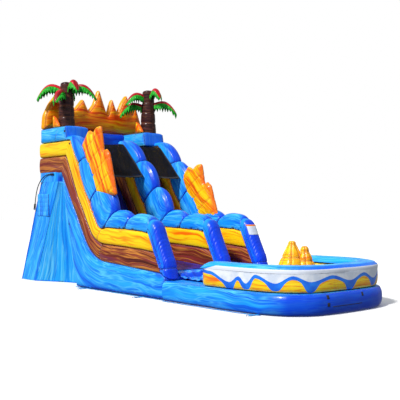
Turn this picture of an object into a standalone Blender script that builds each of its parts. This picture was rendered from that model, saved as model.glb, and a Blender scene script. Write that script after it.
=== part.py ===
"""Two-lane inflatable water slide with a splash pool, as separate named pieces.

The model stands on Z = 0. +X runs down the slide to the pool, +Y runs from the wide slide
lane to the narrow climbing lane. Places along X are measured from the seam between the slide
module and the pool module, and one empty carries every piece from there to the object's origin.
"""

import math

import bmesh
import bpy
from mathutils import Matrix, Vector

# Fit between touching pieces and overrun of the cutters
GAP = 0.0003
OVERRUN = 0.05

# Slide module, across
WALL_THICKNESS = 0.42
SLIDE_LANE_WIDTH = 1.23
CLIMB_LANE_WIDTH = 0.81
SEAM_PINCH = 0.03

# Slide module, along: distances back from the seam, and depths
RUN_FRONT_BACK = 0.20
BEND_BACK = 2.895
DECK_DEPTH = 1.12
LEG_LEAN = 0.72
REAR_SPLAY = 1.10
REAR_COLUMN_FOOT_DEPTH = 0.85
REAR_COLUMN_HEAD_DEPTH = 0.95

# Slide module, heights
DECK_HEIGHT = 2.95
DECK_SLAB = 0.25
RUN_FRONT_HEIGHT = 0.60
NOSE_HEIGHT = 0.50
BROWN_BAND = 0.41
YELLOW_BAND = 0.39
CAP_HEIGHT = 0.40
SIDE_ROUNDING = 0.06

# Path of the slide bed
SLOPE_ANGLE = math.radians(55.8)
RUN_ANGLE = math.radians(3.5)
BED_BEND_RADIUS = 1.10
MIDDLE_WALL_START_ANGLE = math.radians(15)

# Share of the path, brown height and yellow top at each station of the side walls
BAND_SHARES = (
    (0.048, 0.88, 0.925),
    (0.114, 0.78, 0.86),
    (0.19, 0.71, 0.80),
    (0.30, 0.71, 0.775),
    (0.40, 0.73, 0.79),
    (0.44, 0.79, 0.82),
    (0.48, 0.85, 0.88),
    (0.52, 0.90, 0.94),
    (0.56, 0.94, 0.98),
    (0.60, 0.97, 1.00),
    (0.72, 1.00, 1.02),
    (0.86, 1.02, 1.04),
)

# Humped blue tube on each wall. Each valley: share of the seat line, lean as a share of the
# slope's angle, share of the tube's height, and rise of the hump before it over its length
TUBE_HEIGHT = 0.42
TUBE_START_HEIGHT = 0.13
TUBE_END_HEIGHT = 0.26
HUMP_SHARES = (
    (0.18, 1.21, 0.974, 0.168),
    (0.42, 0.80, 1.434, 0.181),
    (0.62, 0.77, 1.282, 0.215),
    (0.80, 0.548, 0.768, 0.166),
)
LAST_HUMP_SHARE = 0.165
TUBE_ROUNDNESS = 2.6
TUBE_RING_DEGREES = (0, 14, 34, 60, 90, 120, 146, 166, 180)
HUMP_STEP_SHARES = (0.12, 0.3, 0.5, 0.7, 0.88)

# Leaning front posts
POST_LEAN = math.radians(27.6)
POST_DEPTH = 0.27
POST_FOOT_REACH = 0.30
POST_SHOULDER_SHARES = ((0.03, 0.48, 0.94), (0.10, 0.87, 0.58))
POST_STATION_SHARES = (0.2, 0.45, 0.72, 0.9)

# Splayed rear wall and side curtains
REAR_TUBES = 6
REAR_TUBE_BULGE = 0.09
REAR_TUBE_STEPS = 4
CURTAIN_THICKNESS = 0.03
CURTAIN_TOP_RECESS = 0.10
CURTAIN_FOOT_RECESS = 0.60
CURTAIN_FOLD = 0.03
CURTAIN_FOLDS = 4
CURTAIN_STEPS = 16
CURTAIN_ROWS = 5

# Guard wall, flame wall, caps
GUARD_DEPTH = 0.40
CAP_WIDTH = 0.76
CAP_ROUNDING = 0.07
CAP_OVERHANG = 0.26
CAP_LEAN = 0.08
FLAME_DEPTH = 0.28
FLAME_HEIGHT = 1.22
FLAME_ROUNDING = 0.04
# Peaks and valleys from the slide lane's side: share of the half width, share of the height
FLAME_SHARES = (
    (-1.00, 0.00),
    (-0.98, 0.30),
    (-0.88, 0.58),
    (-0.76, 0.78),
    (-0.62, 0.46),
    (-0.40, 0.50),
    (-0.24, 0.76),
    (-0.13, 0.48),
    (-0.02, 0.66),
    (0.085, 1.02),
    (0.18, 0.68),
    (0.26, 0.42),
    (0.31, 0.66),
    (0.36, 0.84),
    (0.42, 0.64),
    (0.475, 0.50),
    (0.57, 0.78),
    (0.67, 0.97),
    (0.73, 0.72),
    (0.78, 0.50),
    (0.84, 0.76),
    (0.91, 0.56),
    (0.98, 0.30),
    (1.00, 0.00),
)

# Rock crags on the outer walls: outline in shares of the crag's length and height
CRAG_THICKNESS = 0.17
CRAG_EDGE_DISTANCE = 0.05
CRAG_ROUNDING = 0.04
CRAG_LENGTH = 1.50
CRAG_LEFT_HEIGHT = 1.68
CRAG_LEFT_DISTANCE = 1.85
CRAG_LEFT_RISE = 1.60
CRAG_RIGHT_HEIGHT = 1.42
CRAG_RIGHT_DISTANCE = 2.59
CRAG_RIGHT_RISE = 1.66
CRAG_SHARES = (
    (0.00, 0.76),
    (0.20, 0.97),
    (0.33, 0.91),
    (0.42, 0.99),
    (0.56, 1.00),
    (0.64, 0.62),
    (0.72, 0.66),
    (0.80, 0.60),
    (1.00, 0.00),
    (0.46, 0.00),
)

# Palms
TRUNK_HEIGHT = 1.25
TRUNK_FOOT_RADIUS = 0.235
TRUNK_HEAD_RADIUS = 0.165
TRUNK_DOME = 0.07
TRUNK_SIDES = 24
TRUNK_STATION_SHARES = (0.0, 0.35, 0.7, 1.0)
PALM_EDGE_DISTANCE = 0.40
PALM_LEFT_SETBACK = 0.64
PALM_RIGHT_SETBACK = 0.31
FROND_REACH = 0.64
FROND_RIB = 0.055
FROND_SKIRT = 0.22
FROND_SPREAD = 0.16
FROND_WEDGE_SHARE = 0.32
FROND_LEAF_THICKNESS = 0.02
FROND_STATIONS = 12
# Compass angle in steps of 15 degrees, root height, reach, rise and droop, as shares
FROND_STEP_ANGLE = math.radians(15)
LEFT_FROND_SHARES = (
    (-9, 0.90, 1.00, 0.16, 0.42),
    (3, 0.90, 1.00, 0.14, 0.42),
    (-4, 0.78, 0.70, 0.10, 0.62),
    (0, 0.94, 0.62, 0.30, 0.34),
    (9, 0.86, 0.55, 0.14, 0.40),
)
RIGHT_FROND_SHARES = (
    (-9, 0.66, 0.98, 0.14, 0.42),
    (3, 0.70, 1.00, 0.12, 0.42),
    (-7, 0.90, 0.80, 0.12, 0.46),
    (0, 0.94, 0.62, 0.30, 0.34),
    (9, 0.84, 0.80, 0.14, 0.40),
)
ROOT_ROCK_LENGTH = 0.34
ROOT_ROCK_DEPTH = 0.12
ROOT_ROCK_HEIGHT = 0.34
ROOT_ROCK_SHARES = ((0.0, 0.0), (1.0, 0.0), (1.0, 1.0), (0.55, 0.72), (0.2, 0.3))

# Slide bed, climbing bed, canopies and landing flap
LINER = 0.02
LANE_EDGE_CLEARANCE = 0.012
DECK_LAP = 0.12
CLIMB_BED = 0.05
CLIMB_STEPS = 7
CLIMB_STEP_HEIGHT = 0.09
CLIMB_STEP_LENGTH = 0.15
CLIMB_STEP_POINTS = 6
CANOPY_THICKNESS = 0.012
CANOPY_SPLIT_REACH = 0.16
CANOPY_BREAK_REACH = 0.52
CANOPY_FRONT_REACH = 1.43
CANOPY_DROP = 0.94
FLAP_REACH = 0.80
FLAP_KNEE = 0.05
FLAP_THICKNESS = 0.015
FLAP_RIPPLE = 0.018
FLAP_RIPPLES = 3
FLAP_STEPS = 18

# Pool module
POOL_STRAIGHT = 1.60
POOL_ROUND = 2.14
POOL_OVERHANG = 0.08
POOL_BASE_HEIGHT = 0.42
POOL_BASE_ROUNDING = 0.06
POOL_SQUARENESS = 3.5
RING_START = 1.17
RING_FRONT_INSET = 0.08
RING_SIDE_INSET = 0.07
RING_WALL_THICKNESS = 0.38
RING_WALL_HEIGHT = 0.36
RING_BULGE = 0.03
RIM_WIDTH = 0.42
RIM_HEIGHT = 0.15
RIM_END_SHARES = ((0.0, 0.25), (0.14, 0.62), (0.36, 0.86), (0.68, 0.97))
PLAN_STEPS = 24
RIM_RING_DEGREES = (0, 30, 62, 90, 118, 150, 180)
LINER_SKIN = 0.012
LINER_CLEARANCE = 0.03

# Rock cone in the pool
CONE_TALL_AHEAD = 0.60
CONE_TALL_ASIDE = -0.03
CONE_TALL_HEIGHT = 0.87
CONE_TALL_RADIUS = 0.39
CONE_LOW_AHEAD = 0.79
CONE_LOW_ASIDE = 0.14
CONE_LOW_HEIGHT = 0.77
CONE_LOW_RADIUS = 0.32
CONE_SIDES = 14
CONE_LUMP_SHARE = 0.05
CONE_LOW_TURN = math.radians(11)
CONE_PROFILE_SHARES = ((1.0, 0.0), (0.90, 0.22), (0.70, 0.46), (0.46, 0.70), (0.22, 0.90))

# Ground anchors: flat webbing tab with a round bore and a steel ring
ANCHOR_RING_BAR = 0.009
ANCHOR_EYE_RADIUS = 0.012
ANCHOR_TAB_LENGTH = 0.16
ANCHOR_TAB_WIDTH = 0.06
ANCHOR_TAB_THICKNESS = 0.010
ANCHOR_RING_WIDTH = 0.09
ANCHOR_RING_LENGTH = 0.08
ANCHOR_RING_BEND_POINTS = 5
ANCHOR_BURIED = 0.20
ANCHOR_LEG_DISTANCE = 0.51
ANCHOR_SEAM_DISTANCE = 0.85
ANCHOR_POOL_DISTANCE = 1.15

# Inflation sleeve at the back
SLEEVE_REACH = 0.40
SLEEVE_RADIUS = 0.17
SLEEVE_WALL = 0.012
SLEEVE_SIDES = 24
SLEEVE_OFFSET_Y = 0.825

# Deflation flap on the side of the rear column
ZIP_FLAP_WIDTH = 0.60
ZIP_FLAP_HEIGHT = 0.60
ZIP_FLAP_THICKNESS = 0.010
ZIP_FLAP_DROP = 0.32
ZIP_FLAP_QUILTS = 5
ZIP_FLAP_QUILT_DEPTH = 0.006

# Water hose: sleeve, free hose, valve body and turning collar
HOSE_DIAMETER = 0.024
HOSE_SLEEVE_LENGTH = 0.16
HOSE_SLEEVE_RADIUS = 0.022
HOSE_SLEEVE_SETBACK = 0.50
HOSE_SLEEVE_DROP = 0.05
HOSE_SIDES = 14
VALVE_LENGTH = 0.13
VALVE_RADIUS = 0.026
VALVE_NECK_RADIUS = 0.015
VALVE_NECK_LENGTH = 0.045
COLLAR_LENGTH = 0.034
COLLAR_RADIUS = 0.030
COLLAR_CLEARANCE = 0.0006
COLLAR_RIBS = 12
COLLAR_RIB_DEPTH = 0.003

# Places that follow from the sizes above
BODY_WIDTH = SLIDE_LANE_WIDTH + CLIMB_LANE_WIDTH + 3 * WALL_THICKNESS
HALF_WIDTH = BODY_WIDTH / 2
INNER_LEFT = -HALF_WIDTH + WALL_THICKNESS
MIDDLE_LEFT = INNER_LEFT + SLIDE_LANE_WIDTH
MIDDLE_RIGHT = MIDDLE_LEFT + WALL_THICKNESS
INNER_RIGHT = HALF_WIDTH - WALL_THICKNESS
BEND_HEIGHT = RUN_FRONT_HEIGHT + (BEND_BACK - RUN_FRONT_BACK) * math.tan(RUN_ANGLE)
SLOPE_TOP_BACK = BEND_BACK + (DECK_HEIGHT - BEND_HEIGHT) / math.tan(SLOPE_ANGLE)
TOWER_REAR_BACK = SLOPE_TOP_BACK + DECK_DEPTH
REAR_FOOT_BACK = TOWER_REAR_BACK + REAR_SPLAY
LEG_FOOT_BACK = SLOPE_TOP_BACK - LEG_LEAN
CAP_FRONT_BACK = SLOPE_TOP_BACK - CAP_OVERHANG
WALL_TOP = DECK_HEIGHT + BROWN_BAND + YELLOW_BAND
CAP_TOP = WALL_TOP + CAP_HEIGHT
POOL_LENGTH = POOL_STRAIGHT + POOL_ROUND
SLEEVE_END_BACK = REAR_FOOT_BACK + SLEEVE_REACH
SEAM_X = (SLEEVE_END_BACK - POOL_LENGTH) / 2
GUARD_FRONT = -TOWER_REAR_BACK + GUARD_DEPTH
SLAB_UNDERSIDE = DECK_HEIGHT - DECK_SLAB
POOL_HALF = HALF_WIDTH + POOL_OVERHANG
RING_TOP = POOL_BASE_HEIGHT + RING_WALL_HEIGHT
RIM_TOP = RING_TOP + RIM_HEIGHT
RING_HALF_LENGTH = POOL_ROUND - RING_FRONT_INSET
RING_HALF_WIDTH = POOL_HALF - RING_SIDE_INSET

# Route of the hose from its sleeve to the valve, from the seam, centre line
HOSE_POINTS = (
    (-4.8803, -1.6723, 2.900),
    (-4.960, -1.6735, 2.899),
    (-5.060, -1.677, 2.888),
    (-5.160, -1.680, 2.862),
    (-5.260, -1.684, 2.816),
    (-5.360, -1.688, 2.750),
    (-5.450, -1.690, 2.664),
    (-5.530, -1.690, 2.560),
    (-5.594, -1.688, 2.440),
    (-5.640, -1.684, 2.320),
    (-5.672, -1.681, 2.210),
    (-5.692, -1.680, 2.120),
)


def clear_scene():
    for scene_object in list(bpy.data.objects):
        bpy.data.objects.remove(scene_object, do_unlink=True)


def material(name, colour, roughness, metallic=0.0):
    """Principled material with one colour."""
    made = bpy.data.materials.new(name)
    made.use_nodes = True
    shader = made.node_tree.nodes["Principled BSDF"]
    shader.inputs["Base Color"].default_value = (*colour, 1.0)
    shader.inputs["Roughness"].default_value = roughness
    shader.inputs["Metallic"].default_value = metallic
    return made


def add_object(name, mesh, finish, frame, smooth_angle=math.radians(40)):
    mesh.materials.append(finish)
    mesh.shade_smooth()
    mesh.set_sharp_from_angle(angle=smooth_angle)
    made = bpy.data.objects.new(name, mesh)
    bpy.context.scene.collection.objects.link(made)
    made.parent = frame
    return made


def mesh_of(name, points, faces):
    """Closed mesh from points and faces, with the faces turned outwards."""
    work = bmesh.new()
    made = [work.verts.new(point) for point in points]
    for face in faces:
        work.faces.new([made[index] for index in face])
    bmesh.ops.recalc_face_normals(work, faces=work.faces)
    mesh = bpy.data.meshes.new(name)
    work.to_mesh(mesh)
    work.free()
    return mesh


def loft(name, rings, closed=False, split=False):
    """Skin through rings of equally many points, closed by flat caps or back to the first."""
    count = len(rings[0])
    points = [point for ring in rings for point in ring]
    faces = []
    steps = len(rings) if closed else len(rings) - 1
    for step in range(steps):
        here = step * count
        there = ((step + 1) % len(rings)) * count
        for index in range(count):
            after = (index + 1) % count
            corners = (here + index, here + after, there + after, there + index)
            if split:
                faces.append(corners[:3])
                faces.append((corners[0], corners[2], corners[3]))
            else:
                faces.append(corners)
    if not closed:
        last = (len(rings) - 1) * count
        faces.append(tuple(reversed(range(count))))
        faces.append(tuple(range(last, last + count)))
    return mesh_of(name, points, faces)


def inset_outline(outline, distance):
    """Outline moved inwards by the same distance on every side; it runs anticlockwise."""
    moved = []
    count = len(outline)
    for index in range(count):
        before = Vector(outline[index - 1])
        here = Vector(outline[index])
        after = Vector(outline[(index + 1) % count])
        first = (here - before).normalized()
        second = (after - here).normalized()
        first_normal = Vector((-first.y, first.x))
        second_normal = Vector((-second.y, second.x))
        middle = (first_normal + second_normal).normalized()
        reach = distance / max(middle.dot(first_normal), 0.5)
        moved.append(tuple(here + middle * reach))
    return moved


def anticlockwise(outline):
    area = sum(
        a[0] * b[1] - b[0] * a[1] for a, b in zip(outline, outline[1:] + outline[:1])
    )
    return outline if area > 0 else outline[::-1]


def across(point, depth):
    """Side-view point at a place across the slide."""
    return Vector((point[0], depth, point[1]))


def along(point, depth):
    """Front-view point at a place along the slide."""
    return Vector((depth, point[0], point[1]))


PILLOW_SHARES = ((0.0, 1.0), (0.28, 0.35), (1.0, 0.0))


def pillow_rings(outline, low, high, rounding, place):
    """Rings of a flat chamber whose edges are drawn in where its faces are seamed."""
    outline = anticlockwise(list(outline))
    near = [(low + rounding * run, rounding * draw) for run, draw in PILLOW_SHARES]
    far = [(high - rounding * run, rounding * draw) for run, draw in reversed(PILLOW_SHARES)]
    return [
        [place(point, depth) for point in inset_outline(outline, draw)]
        for depth, draw in near + far
    ]


def pillow(name, outline, low, high, rounding, place):
    return loft(name, pillow_rings(outline, low, high, rounding, place))


def direction(angle):
    """Unit vector that leans forward from vertical by the angle."""
    return Vector((math.sin(angle), math.cos(angle)))


def bed_path():
    """Slope, bend and run of the bed: corner places and lengths."""
    top = Vector((-SLOPE_TOP_BACK, DECK_HEIGHT))
    front = Vector((-RUN_FRONT_BACK, RUN_FRONT_HEIGHT))
    slope = Vector((math.cos(SLOPE_ANGLE), -math.sin(SLOPE_ANGLE)))
    run = Vector((math.cos(RUN_ANGLE), -math.sin(RUN_ANGLE)))
    offset = front - top
    crossing = slope.x * run.y - slope.y * run.x
    slope_length = (offset.x * run.y - offset.y * run.x) / crossing
    corner = top + slope * slope_length
    tangent = BED_BEND_RADIUS * math.tan((SLOPE_ANGLE - RUN_ANGLE) / 2)
    bend_start = corner - slope * tangent
    bend_end = corner + run * tangent
    return {
        "top": top,
        "slope": slope,
        "run": run,
        "slope_length": slope_length - tangent,
        "bend_length": BED_BEND_RADIUS * (SLOPE_ANGLE - RUN_ANGLE),
        "bend_centre": bend_start + direction(SLOPE_ANGLE) * BED_BEND_RADIUS,
        "bend_end": bend_end,
        "run_length": (front - bend_end).length,
    }


PATH = bed_path()
PATH_LENGTH = PATH["slope_length"] + PATH["bend_length"] + PATH["run_length"]


def bed_at(distance):
    """Place and normal angle of the bed at a distance from the top of the slope."""
    if distance <= PATH["slope_length"]:
        return PATH["top"] + PATH["slope"] * distance, SLOPE_ANGLE
    distance -= PATH["slope_length"]
    if distance <= PATH["bend_length"]:
        angle = SLOPE_ANGLE - distance / BED_BEND_RADIUS
        return PATH["bend_centre"] - direction(angle) * BED_BEND_RADIUS, angle
    distance -= PATH["bend_length"]
    return PATH["bend_end"] + PATH["run"] * distance, RUN_ANGLE


def wall_stations(with_deck):
    """Seat, normal angle, brown height and yellow top at every station of a side wall."""
    both = BROWN_BAND + YELLOW_BAND
    top = PATH["top"]
    if with_deck:
        mitre = SLOPE_ANGLE / 2
        widening = 1 / math.cos(mitre)
        stations = [
            (Vector((-TOWER_REAR_BACK, DECK_HEIGHT)), 0.0, BROWN_BAND, both),
            (top, mitre, BROWN_BAND * widening, both * widening),
        ]
    else:
        stations = [(top, MIDDLE_WALL_START_ANGLE, BROWN_BAND, both)]
    for share, brown_share, top_share in BAND_SHARES:
        place, angle = bed_at(share * PATH_LENGTH)
        stations.append((place, angle, brown_share * BROWN_BAND, top_share * both))
    last_share, last_brown, last_top = BAND_SHARES[-1]
    stretch = 1 / math.cos(POST_LEAN)
    front = Vector((-RUN_FRONT_BACK, RUN_FRONT_HEIGHT))
    end = (front, -POST_LEAN, last_brown * BROWN_BAND * stretch, last_top * both * stretch)
    return stations + [end]


BAND_SECTION_SHARES = ((0.0, 1.0), (0.18, 0.35), (0.5, 0.0), (0.82, 0.35), (1.0, 1.0))


def band_ring(seat, angle, low, high, left, right):
    """Section of one wall chamber, drawn in where it is seamed to the next."""
    up = direction(angle)
    levels = [(low + (high - low) * share, SEAM_PINCH * draw) for share, draw in BAND_SECTION_SHARES]
    left_side = [across(seat + up * level, left + draw) for level, draw in levels]
    right_side = [across(seat + up * level, right - draw) for level, draw in reversed(levels)]
    return left_side + right_side


def band(name, stations, kind, left, right):
    rings = []
    for seat, angle, brown, top in stations:
        if kind == "brown":
            rings.append(band_ring(seat, angle, GAP, brown, left, right))
        else:
            rings.append(band_ring(seat, angle, brown + GAP, top, left, right))
    return loft(name, rings)


def seat_line(stations, start):
    """Line on top of the yellow chamber that carries the blue tube, from a starting place."""
    points = [seat + direction(angle) * top for seat, angle, brown, top in stations]
    return [start] + points


def line_lengths(points):
    lengths = [0.0]
    for before, after in zip(points, points[1:]):
        lengths.append(lengths[-1] + (after - before).length)
    return lengths


def point_on_line(points, lengths, distance):
    for index in range(1, len(points)):
        if distance <= lengths[index] or index == len(points) - 1:
            step = lengths[index] - lengths[index - 1]
            share = (distance - lengths[index - 1]) / step
            return points[index - 1].lerp(points[index], share)


def arc_point(start, end, bulge_share, share):
    """Point on the arc over a chord; its rise in the middle is a share of the chord."""
    chord = end - start
    outward = Vector((-chord.y, chord.x))
    return start + chord * share + outward * (bulge_share * math.sin(math.pi * share) ** 0.7)


def tube_pairs(stations, start, start_top, end_height):
    """Seat point and crest point of every section of a humped tube."""
    seats = seat_line(stations, start)
    lengths = line_lengths(seats)
    total = lengths[-1]
    end_top = seats[-1] + Vector((0.0, end_height))
    anchors = [(0.0, start_top, None)]
    for seat_share, lean_share, height_share, bulge_share in HUMP_SHARES:
        seat = point_on_line(seats, lengths, seat_share * total)
        valley = seat + direction(lean_share * SLOPE_ANGLE) * (height_share * TUBE_HEIGHT)
        anchors.append((seat_share * total, valley, bulge_share))
    anchors.append((total, end_top, LAST_HUMP_SHARE))
    marks = set(lengths)
    for before, after in zip(anchors, anchors[1:]):
        marks.add(after[0])
        for share in HUMP_STEP_SHARES:
            marks.add(before[0] + (after[0] - before[0]) * share)
    pairs = []
    for mark in sorted(marks):
        if pairs and mark - pairs[-1][2] < SEAM_PINCH and mark not in lengths:
            continue
        if pairs and mark - pairs[-1][2] < SEAM_PINCH and pairs[-1][2] not in lengths:
            pairs.pop()
        seat = point_on_line(seats, lengths, mark)
        for before, after in zip(anchors, anchors[1:]):
            if mark <= after[0]:
                share = (mark - before[0]) / (after[0] - before[0])
                crest = arc_point(before[1], after[1], after[2], share)
                break
        pairs.append((seat, crest, mark))
    return pairs


def tube_ring(seat, crest, left, right, grow=0.0):
    """Round-topped section that stands on a flat seat."""
    up = crest - seat
    length = up.length
    up = up.normalized()
    middle = (left + right) / 2
    half = (right - left) / 2
    ring = []
    for degrees in TUBE_RING_DEGREES:
        angle = math.radians(degrees)
        side = math.copysign(abs(math.cos(angle)) ** (2 / TUBE_ROUNDNESS), math.cos(angle))
        rise = math.sin(angle) ** (2 / TUBE_ROUNDNESS)
        draw = SEAM_PINCH if degrees in (TUBE_RING_DEGREES[0], TUBE_RING_DEGREES[-1]) else 0.0
        width = side * (half - draw + grow)
        lift = GAP + rise * (length - GAP + grow)
        if grow:
            lift = rise * (length + grow) - grow * (1 - rise)
        ring.append(across(seat + up * lift, middle + width))
    return ring


def top_tube(name, pairs, left, right, grow=0.0):
    rings = [tube_ring(seat, crest, left, right, grow) for seat, crest, mark in pairs]
    return loft(name, rings, split=True)


def post_pairs(stations):
    """Sections of the leaning front post, from the shoulder down to its foot."""
    seat, angle, brown, top = stations[-1]
    down = -direction(angle)
    out = Vector((math.cos(POST_LEAN), math.sin(POST_LEAN)))
    head = seat + direction(angle) * top
    shoulder = head + Vector((GAP, 0.0)) + out * GAP
    pairs = [(shoulder, shoulder + Vector((0.0, TUBE_END_HEIGHT)))]
    for down_share, out_share, up_share in POST_SHOULDER_SHARES:
        start = shoulder + down * (down_share * top)
        crest = Vector((out_share * POST_DEPTH, up_share * TUBE_END_HEIGHT))
        pairs.append((start, shoulder + crest))
    for share in POST_STATION_SHARES:
        start = shoulder + down * (share * top)
        pairs.append((start, start + out * POST_DEPTH))
    nose = Vector((RUN_FRONT_BACK, NOSE_HEIGHT - RUN_FRONT_HEIGHT)).normalized()
    lift = Vector((-nose.y, nose.x)) * GAP
    foot = Vector((-RUN_FRONT_BACK, RUN_FRONT_HEIGHT)) + out * GAP + lift * 2
    pairs.append((foot, foot + nose * POST_FOOT_REACH))
    return pairs


def plain_ring(seat, crest, left, right):
    """Round-topped section with its flat side on the line of the seat."""
    up = crest - seat
    middle = (left + right) / 2
    half = (right - left) / 2
    ring = []
    for degrees in TUBE_RING_DEGREES:
        angle = math.radians(degrees)
        side = math.copysign(abs(math.cos(angle)) ** (2 / TUBE_ROUNDNESS), math.cos(angle))
        rise = math.sin(angle) ** (2 / TUBE_ROUNDNESS)
        ring.append(across(seat + up * rise, middle + side * half))
    return ring


def apply_boolean(target, cutter, operation):
    """Boolean kept as a modifier; the other shape is left as a hidden guide."""
    cutter.hide_render = True
    cutter.display_type = "WIRE"
    change = target.modifiers.new(cutter.name, "BOOLEAN")
    change.operation = operation
    change.object = cutter
    change.solver = "EXACT"


def plan_point(angle, inset, half_length, half_width):
    """Point of the pool's rounded plan in a direction from its centre."""
    long_side = half_length - inset
    wide_side = half_width - inset
    cos_part = (abs(math.cos(angle)) / long_side) ** POOL_SQUARENESS
    sin_part = (abs(math.sin(angle)) / wide_side) ** POOL_SQUARENESS
    reach = (cos_part + sin_part) ** (-1 / POOL_SQUARENESS)
    return Vector((POOL_STRAIGHT + reach * math.cos(angle), reach * math.sin(angle)))


def plan_half_width(x):
    """Half width of the pool's base at a place along it."""
    share = abs(x - POOL_STRAIGHT) / POOL_ROUND
    return POOL_HALF * (1 - share ** POOL_SQUARENESS) ** (1 / POOL_SQUARENESS)


def plan_line(inset, half_length, half_width, start):
    """Half-round plan line from the near side to the far side, with straight legs from start."""
    points = []
    for step in range(PLAN_STEPS + 1):
        angle = -math.pi / 2 + math.pi * step / PLAN_STEPS
        points.append(plan_point(angle, inset, half_length, half_width))
    side = half_width - inset
    return [Vector((start, -side))] + points + [Vector((start, side))]


def ring_line(inset):
    """Plan line of the ring's walls with extra points along both straight ends."""
    line = plan_line(inset, RING_HALF_LENGTH, RING_HALF_WIDTH, RING_START)
    near = [line[0].lerp(line[1], share) for share, height in RIM_END_SHARES[1:]]
    far = [line[-1].lerp(line[-2], share) for share, height in reversed(RIM_END_SHARES[1:])]
    return [line[0]] + near + line[1:-1] + far + [line[-1]]


def rim_heights(count):
    """Share of the rim's height at each point of the ring's line."""
    heights = [1.0] * count
    for index, (share, height) in enumerate(RIM_END_SHARES):
        heights[index] = height
        heights[count - 1 - index] = height
    return heights


def cylinder_rings(centre, axis, profile, sides):
    """Rings of a turned piece: (distance along the axis, radius) pairs."""
    axis = Vector(axis).normalized()
    helper = Vector((0, 0, 1)) if abs(axis.z) < 0.9 else Vector((1, 0, 0))
    first = axis.cross(helper).normalized()
    second = axis.cross(first)
    rings = []
    for distance, radius in profile:
        ring = []
        for index in range(sides):
            angle = 2 * math.pi * index / sides
            spoke = first * math.cos(angle) + second * math.sin(angle)
            ring.append(Vector(centre) + axis * distance + spoke * radius)
        rings.append(ring)
    return rings


def build_slide_body(frame, finish):
    """Blue lower chamber: leg, base and the bearing surface under both lanes."""
    top = [tuple(PATH["top"])]
    top += [tuple(bed_at(share * PATH_LENGTH)[0]) for share, brown, high in BAND_SHARES]
    outline = top + [
        (-RUN_FRONT_BACK, RUN_FRONT_HEIGHT),
        (-GAP, NOSE_HEIGHT),
        (-GAP, 0.0),
        (-LEG_FOOT_BACK, 0.0),
        (-SLOPE_TOP_BACK, SLAB_UNDERSIDE),
    ]
    mesh = pillow("slide_body", outline, -HALF_WIDTH, HALF_WIDTH, SIDE_ROUNDING, across)
    return add_object("slide_body", mesh, finish, frame)


def rear_line(height):
    """Distance back of the rear wall's outer face at a height."""
    share = height / SLAB_UNDERSIDE
    return REAR_FOOT_BACK + (TOWER_REAR_BACK - REAR_FOOT_BACK) * share


def column_front(height):
    """Distance back of the rear wall's front face at a height."""
    share = height / SLAB_UNDERSIDE
    depth = REAR_COLUMN_FOOT_DEPTH + (REAR_COLUMN_HEAD_DEPTH - REAR_COLUMN_FOOT_DEPTH) * share
    return rear_line(height) - depth


def leg_rear(height):
    """Distance back of the leg's rear edge at a height."""
    share = height / SLAB_UNDERSIDE
    return LEG_FOOT_BACK + (SLOPE_TOP_BACK - LEG_FOOT_BACK) * share


def build_rear_wall(frame, finish):
    """Splayed rear wall of upright tubes."""
    rings = []
    for height in (0.0, SLAB_UNDERSIDE - GAP):
        back = -rear_line(height)
        front = -column_front(height)
        ring = []
        steps = REAR_TUBES * REAR_TUBE_STEPS
        for step in range(steps + 1):
            share = step / steps
            swell = abs(math.sin(math.pi * share * REAR_TUBES)) ** 0.6
            depth = back + REAR_TUBE_BULGE * (1 - swell)
            ring.append(Vector((depth, -HALF_WIDTH + BODY_WIDTH * share, height)))
        ring.append(Vector((front, HALF_WIDTH, height)))
        ring.append(Vector((front, -HALF_WIDTH, height)))
        rings.append(ring)
    return add_object("rear_wall", loft("rear_wall", rings), finish, frame)


def build_side_curtain(name, side, frame, finish):
    """Sheet between the rear wall and the leg, drawn in towards the ground."""
    rings = []
    for row in range(CURTAIN_ROWS):
        share = row / (CURTAIN_ROWS - 1)
        height = (SLAB_UNDERSIDE - GAP) * share
        recess = CURTAIN_FOOT_RECESS + (CURTAIN_TOP_RECESS - CURTAIN_FOOT_RECESS) * share
        start = -column_front(height) + GAP
        end = -leg_rear(height) - GAP
        outer = []
        inner = []
        for step in range(CURTAIN_STEPS + 1):
            run = step / CURTAIN_STEPS
            fold = CURTAIN_FOLD * (1 - share) * math.sin(math.pi * run * CURTAIN_FOLDS) ** 2
            depth = HALF_WIDTH - SIDE_ROUNDING - recess * math.sin(math.pi / 2 * run) + fold
            x = start + (end - start) * run
            outer.append(Vector((x, side * depth, height)))
            inner.append(Vector((x, side * (depth - CURTAIN_THICKNESS), height)))
        rings.append(outer + inner[::-1])
    return add_object(name, loft(name, rings), finish, frame)


def build_tower(frame, blue, dark_blue, orange):
    slab = (
        (-TOWER_REAR_BACK, SLAB_UNDERSIDE),
        (-SLOPE_TOP_BACK - GAP, SLAB_UNDERSIDE),
        (-SLOPE_TOP_BACK - GAP, DECK_HEIGHT),
        (-TOWER_REAR_BACK, DECK_HEIGHT),
    )
    mesh = pillow("platform_floor", slab, -HALF_WIDTH, HALF_WIDTH, SEAM_PINCH, across)
    add_object("platform_floor", mesh, blue, frame)
    low_half = INNER_RIGHT - GAP
    high_half = HALF_WIDTH - CAP_WIDTH - GAP
    guard = (
        (-low_half, DECK_HEIGHT + GAP),
        (low_half, DECK_HEIGHT + GAP),
        (low_half, WALL_TOP),
        (high_half, WALL_TOP),
        (high_half, CAP_TOP),
        (-high_half, CAP_TOP),
        (-high_half, WALL_TOP),
        (-low_half, WALL_TOP),
    )
    mesh = pillow("rear_guard_wall", guard, -TOWER_REAR_BACK, GUARD_FRONT, SEAM_PINCH, along)
    add_object("rear_guard_wall", mesh, dark_blue, frame)
    flames = [(HALF_WIDTH * y, CAP_TOP + GAP + FLAME_HEIGHT * z) for y, z in FLAME_SHARES]
    front = -TOWER_REAR_BACK + FLAME_DEPTH
    mesh = pillow("flame_wall", flames, -TOWER_REAR_BACK, front, FLAME_ROUNDING, along)
    add_object("flame_wall", mesh, orange, frame)


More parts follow.
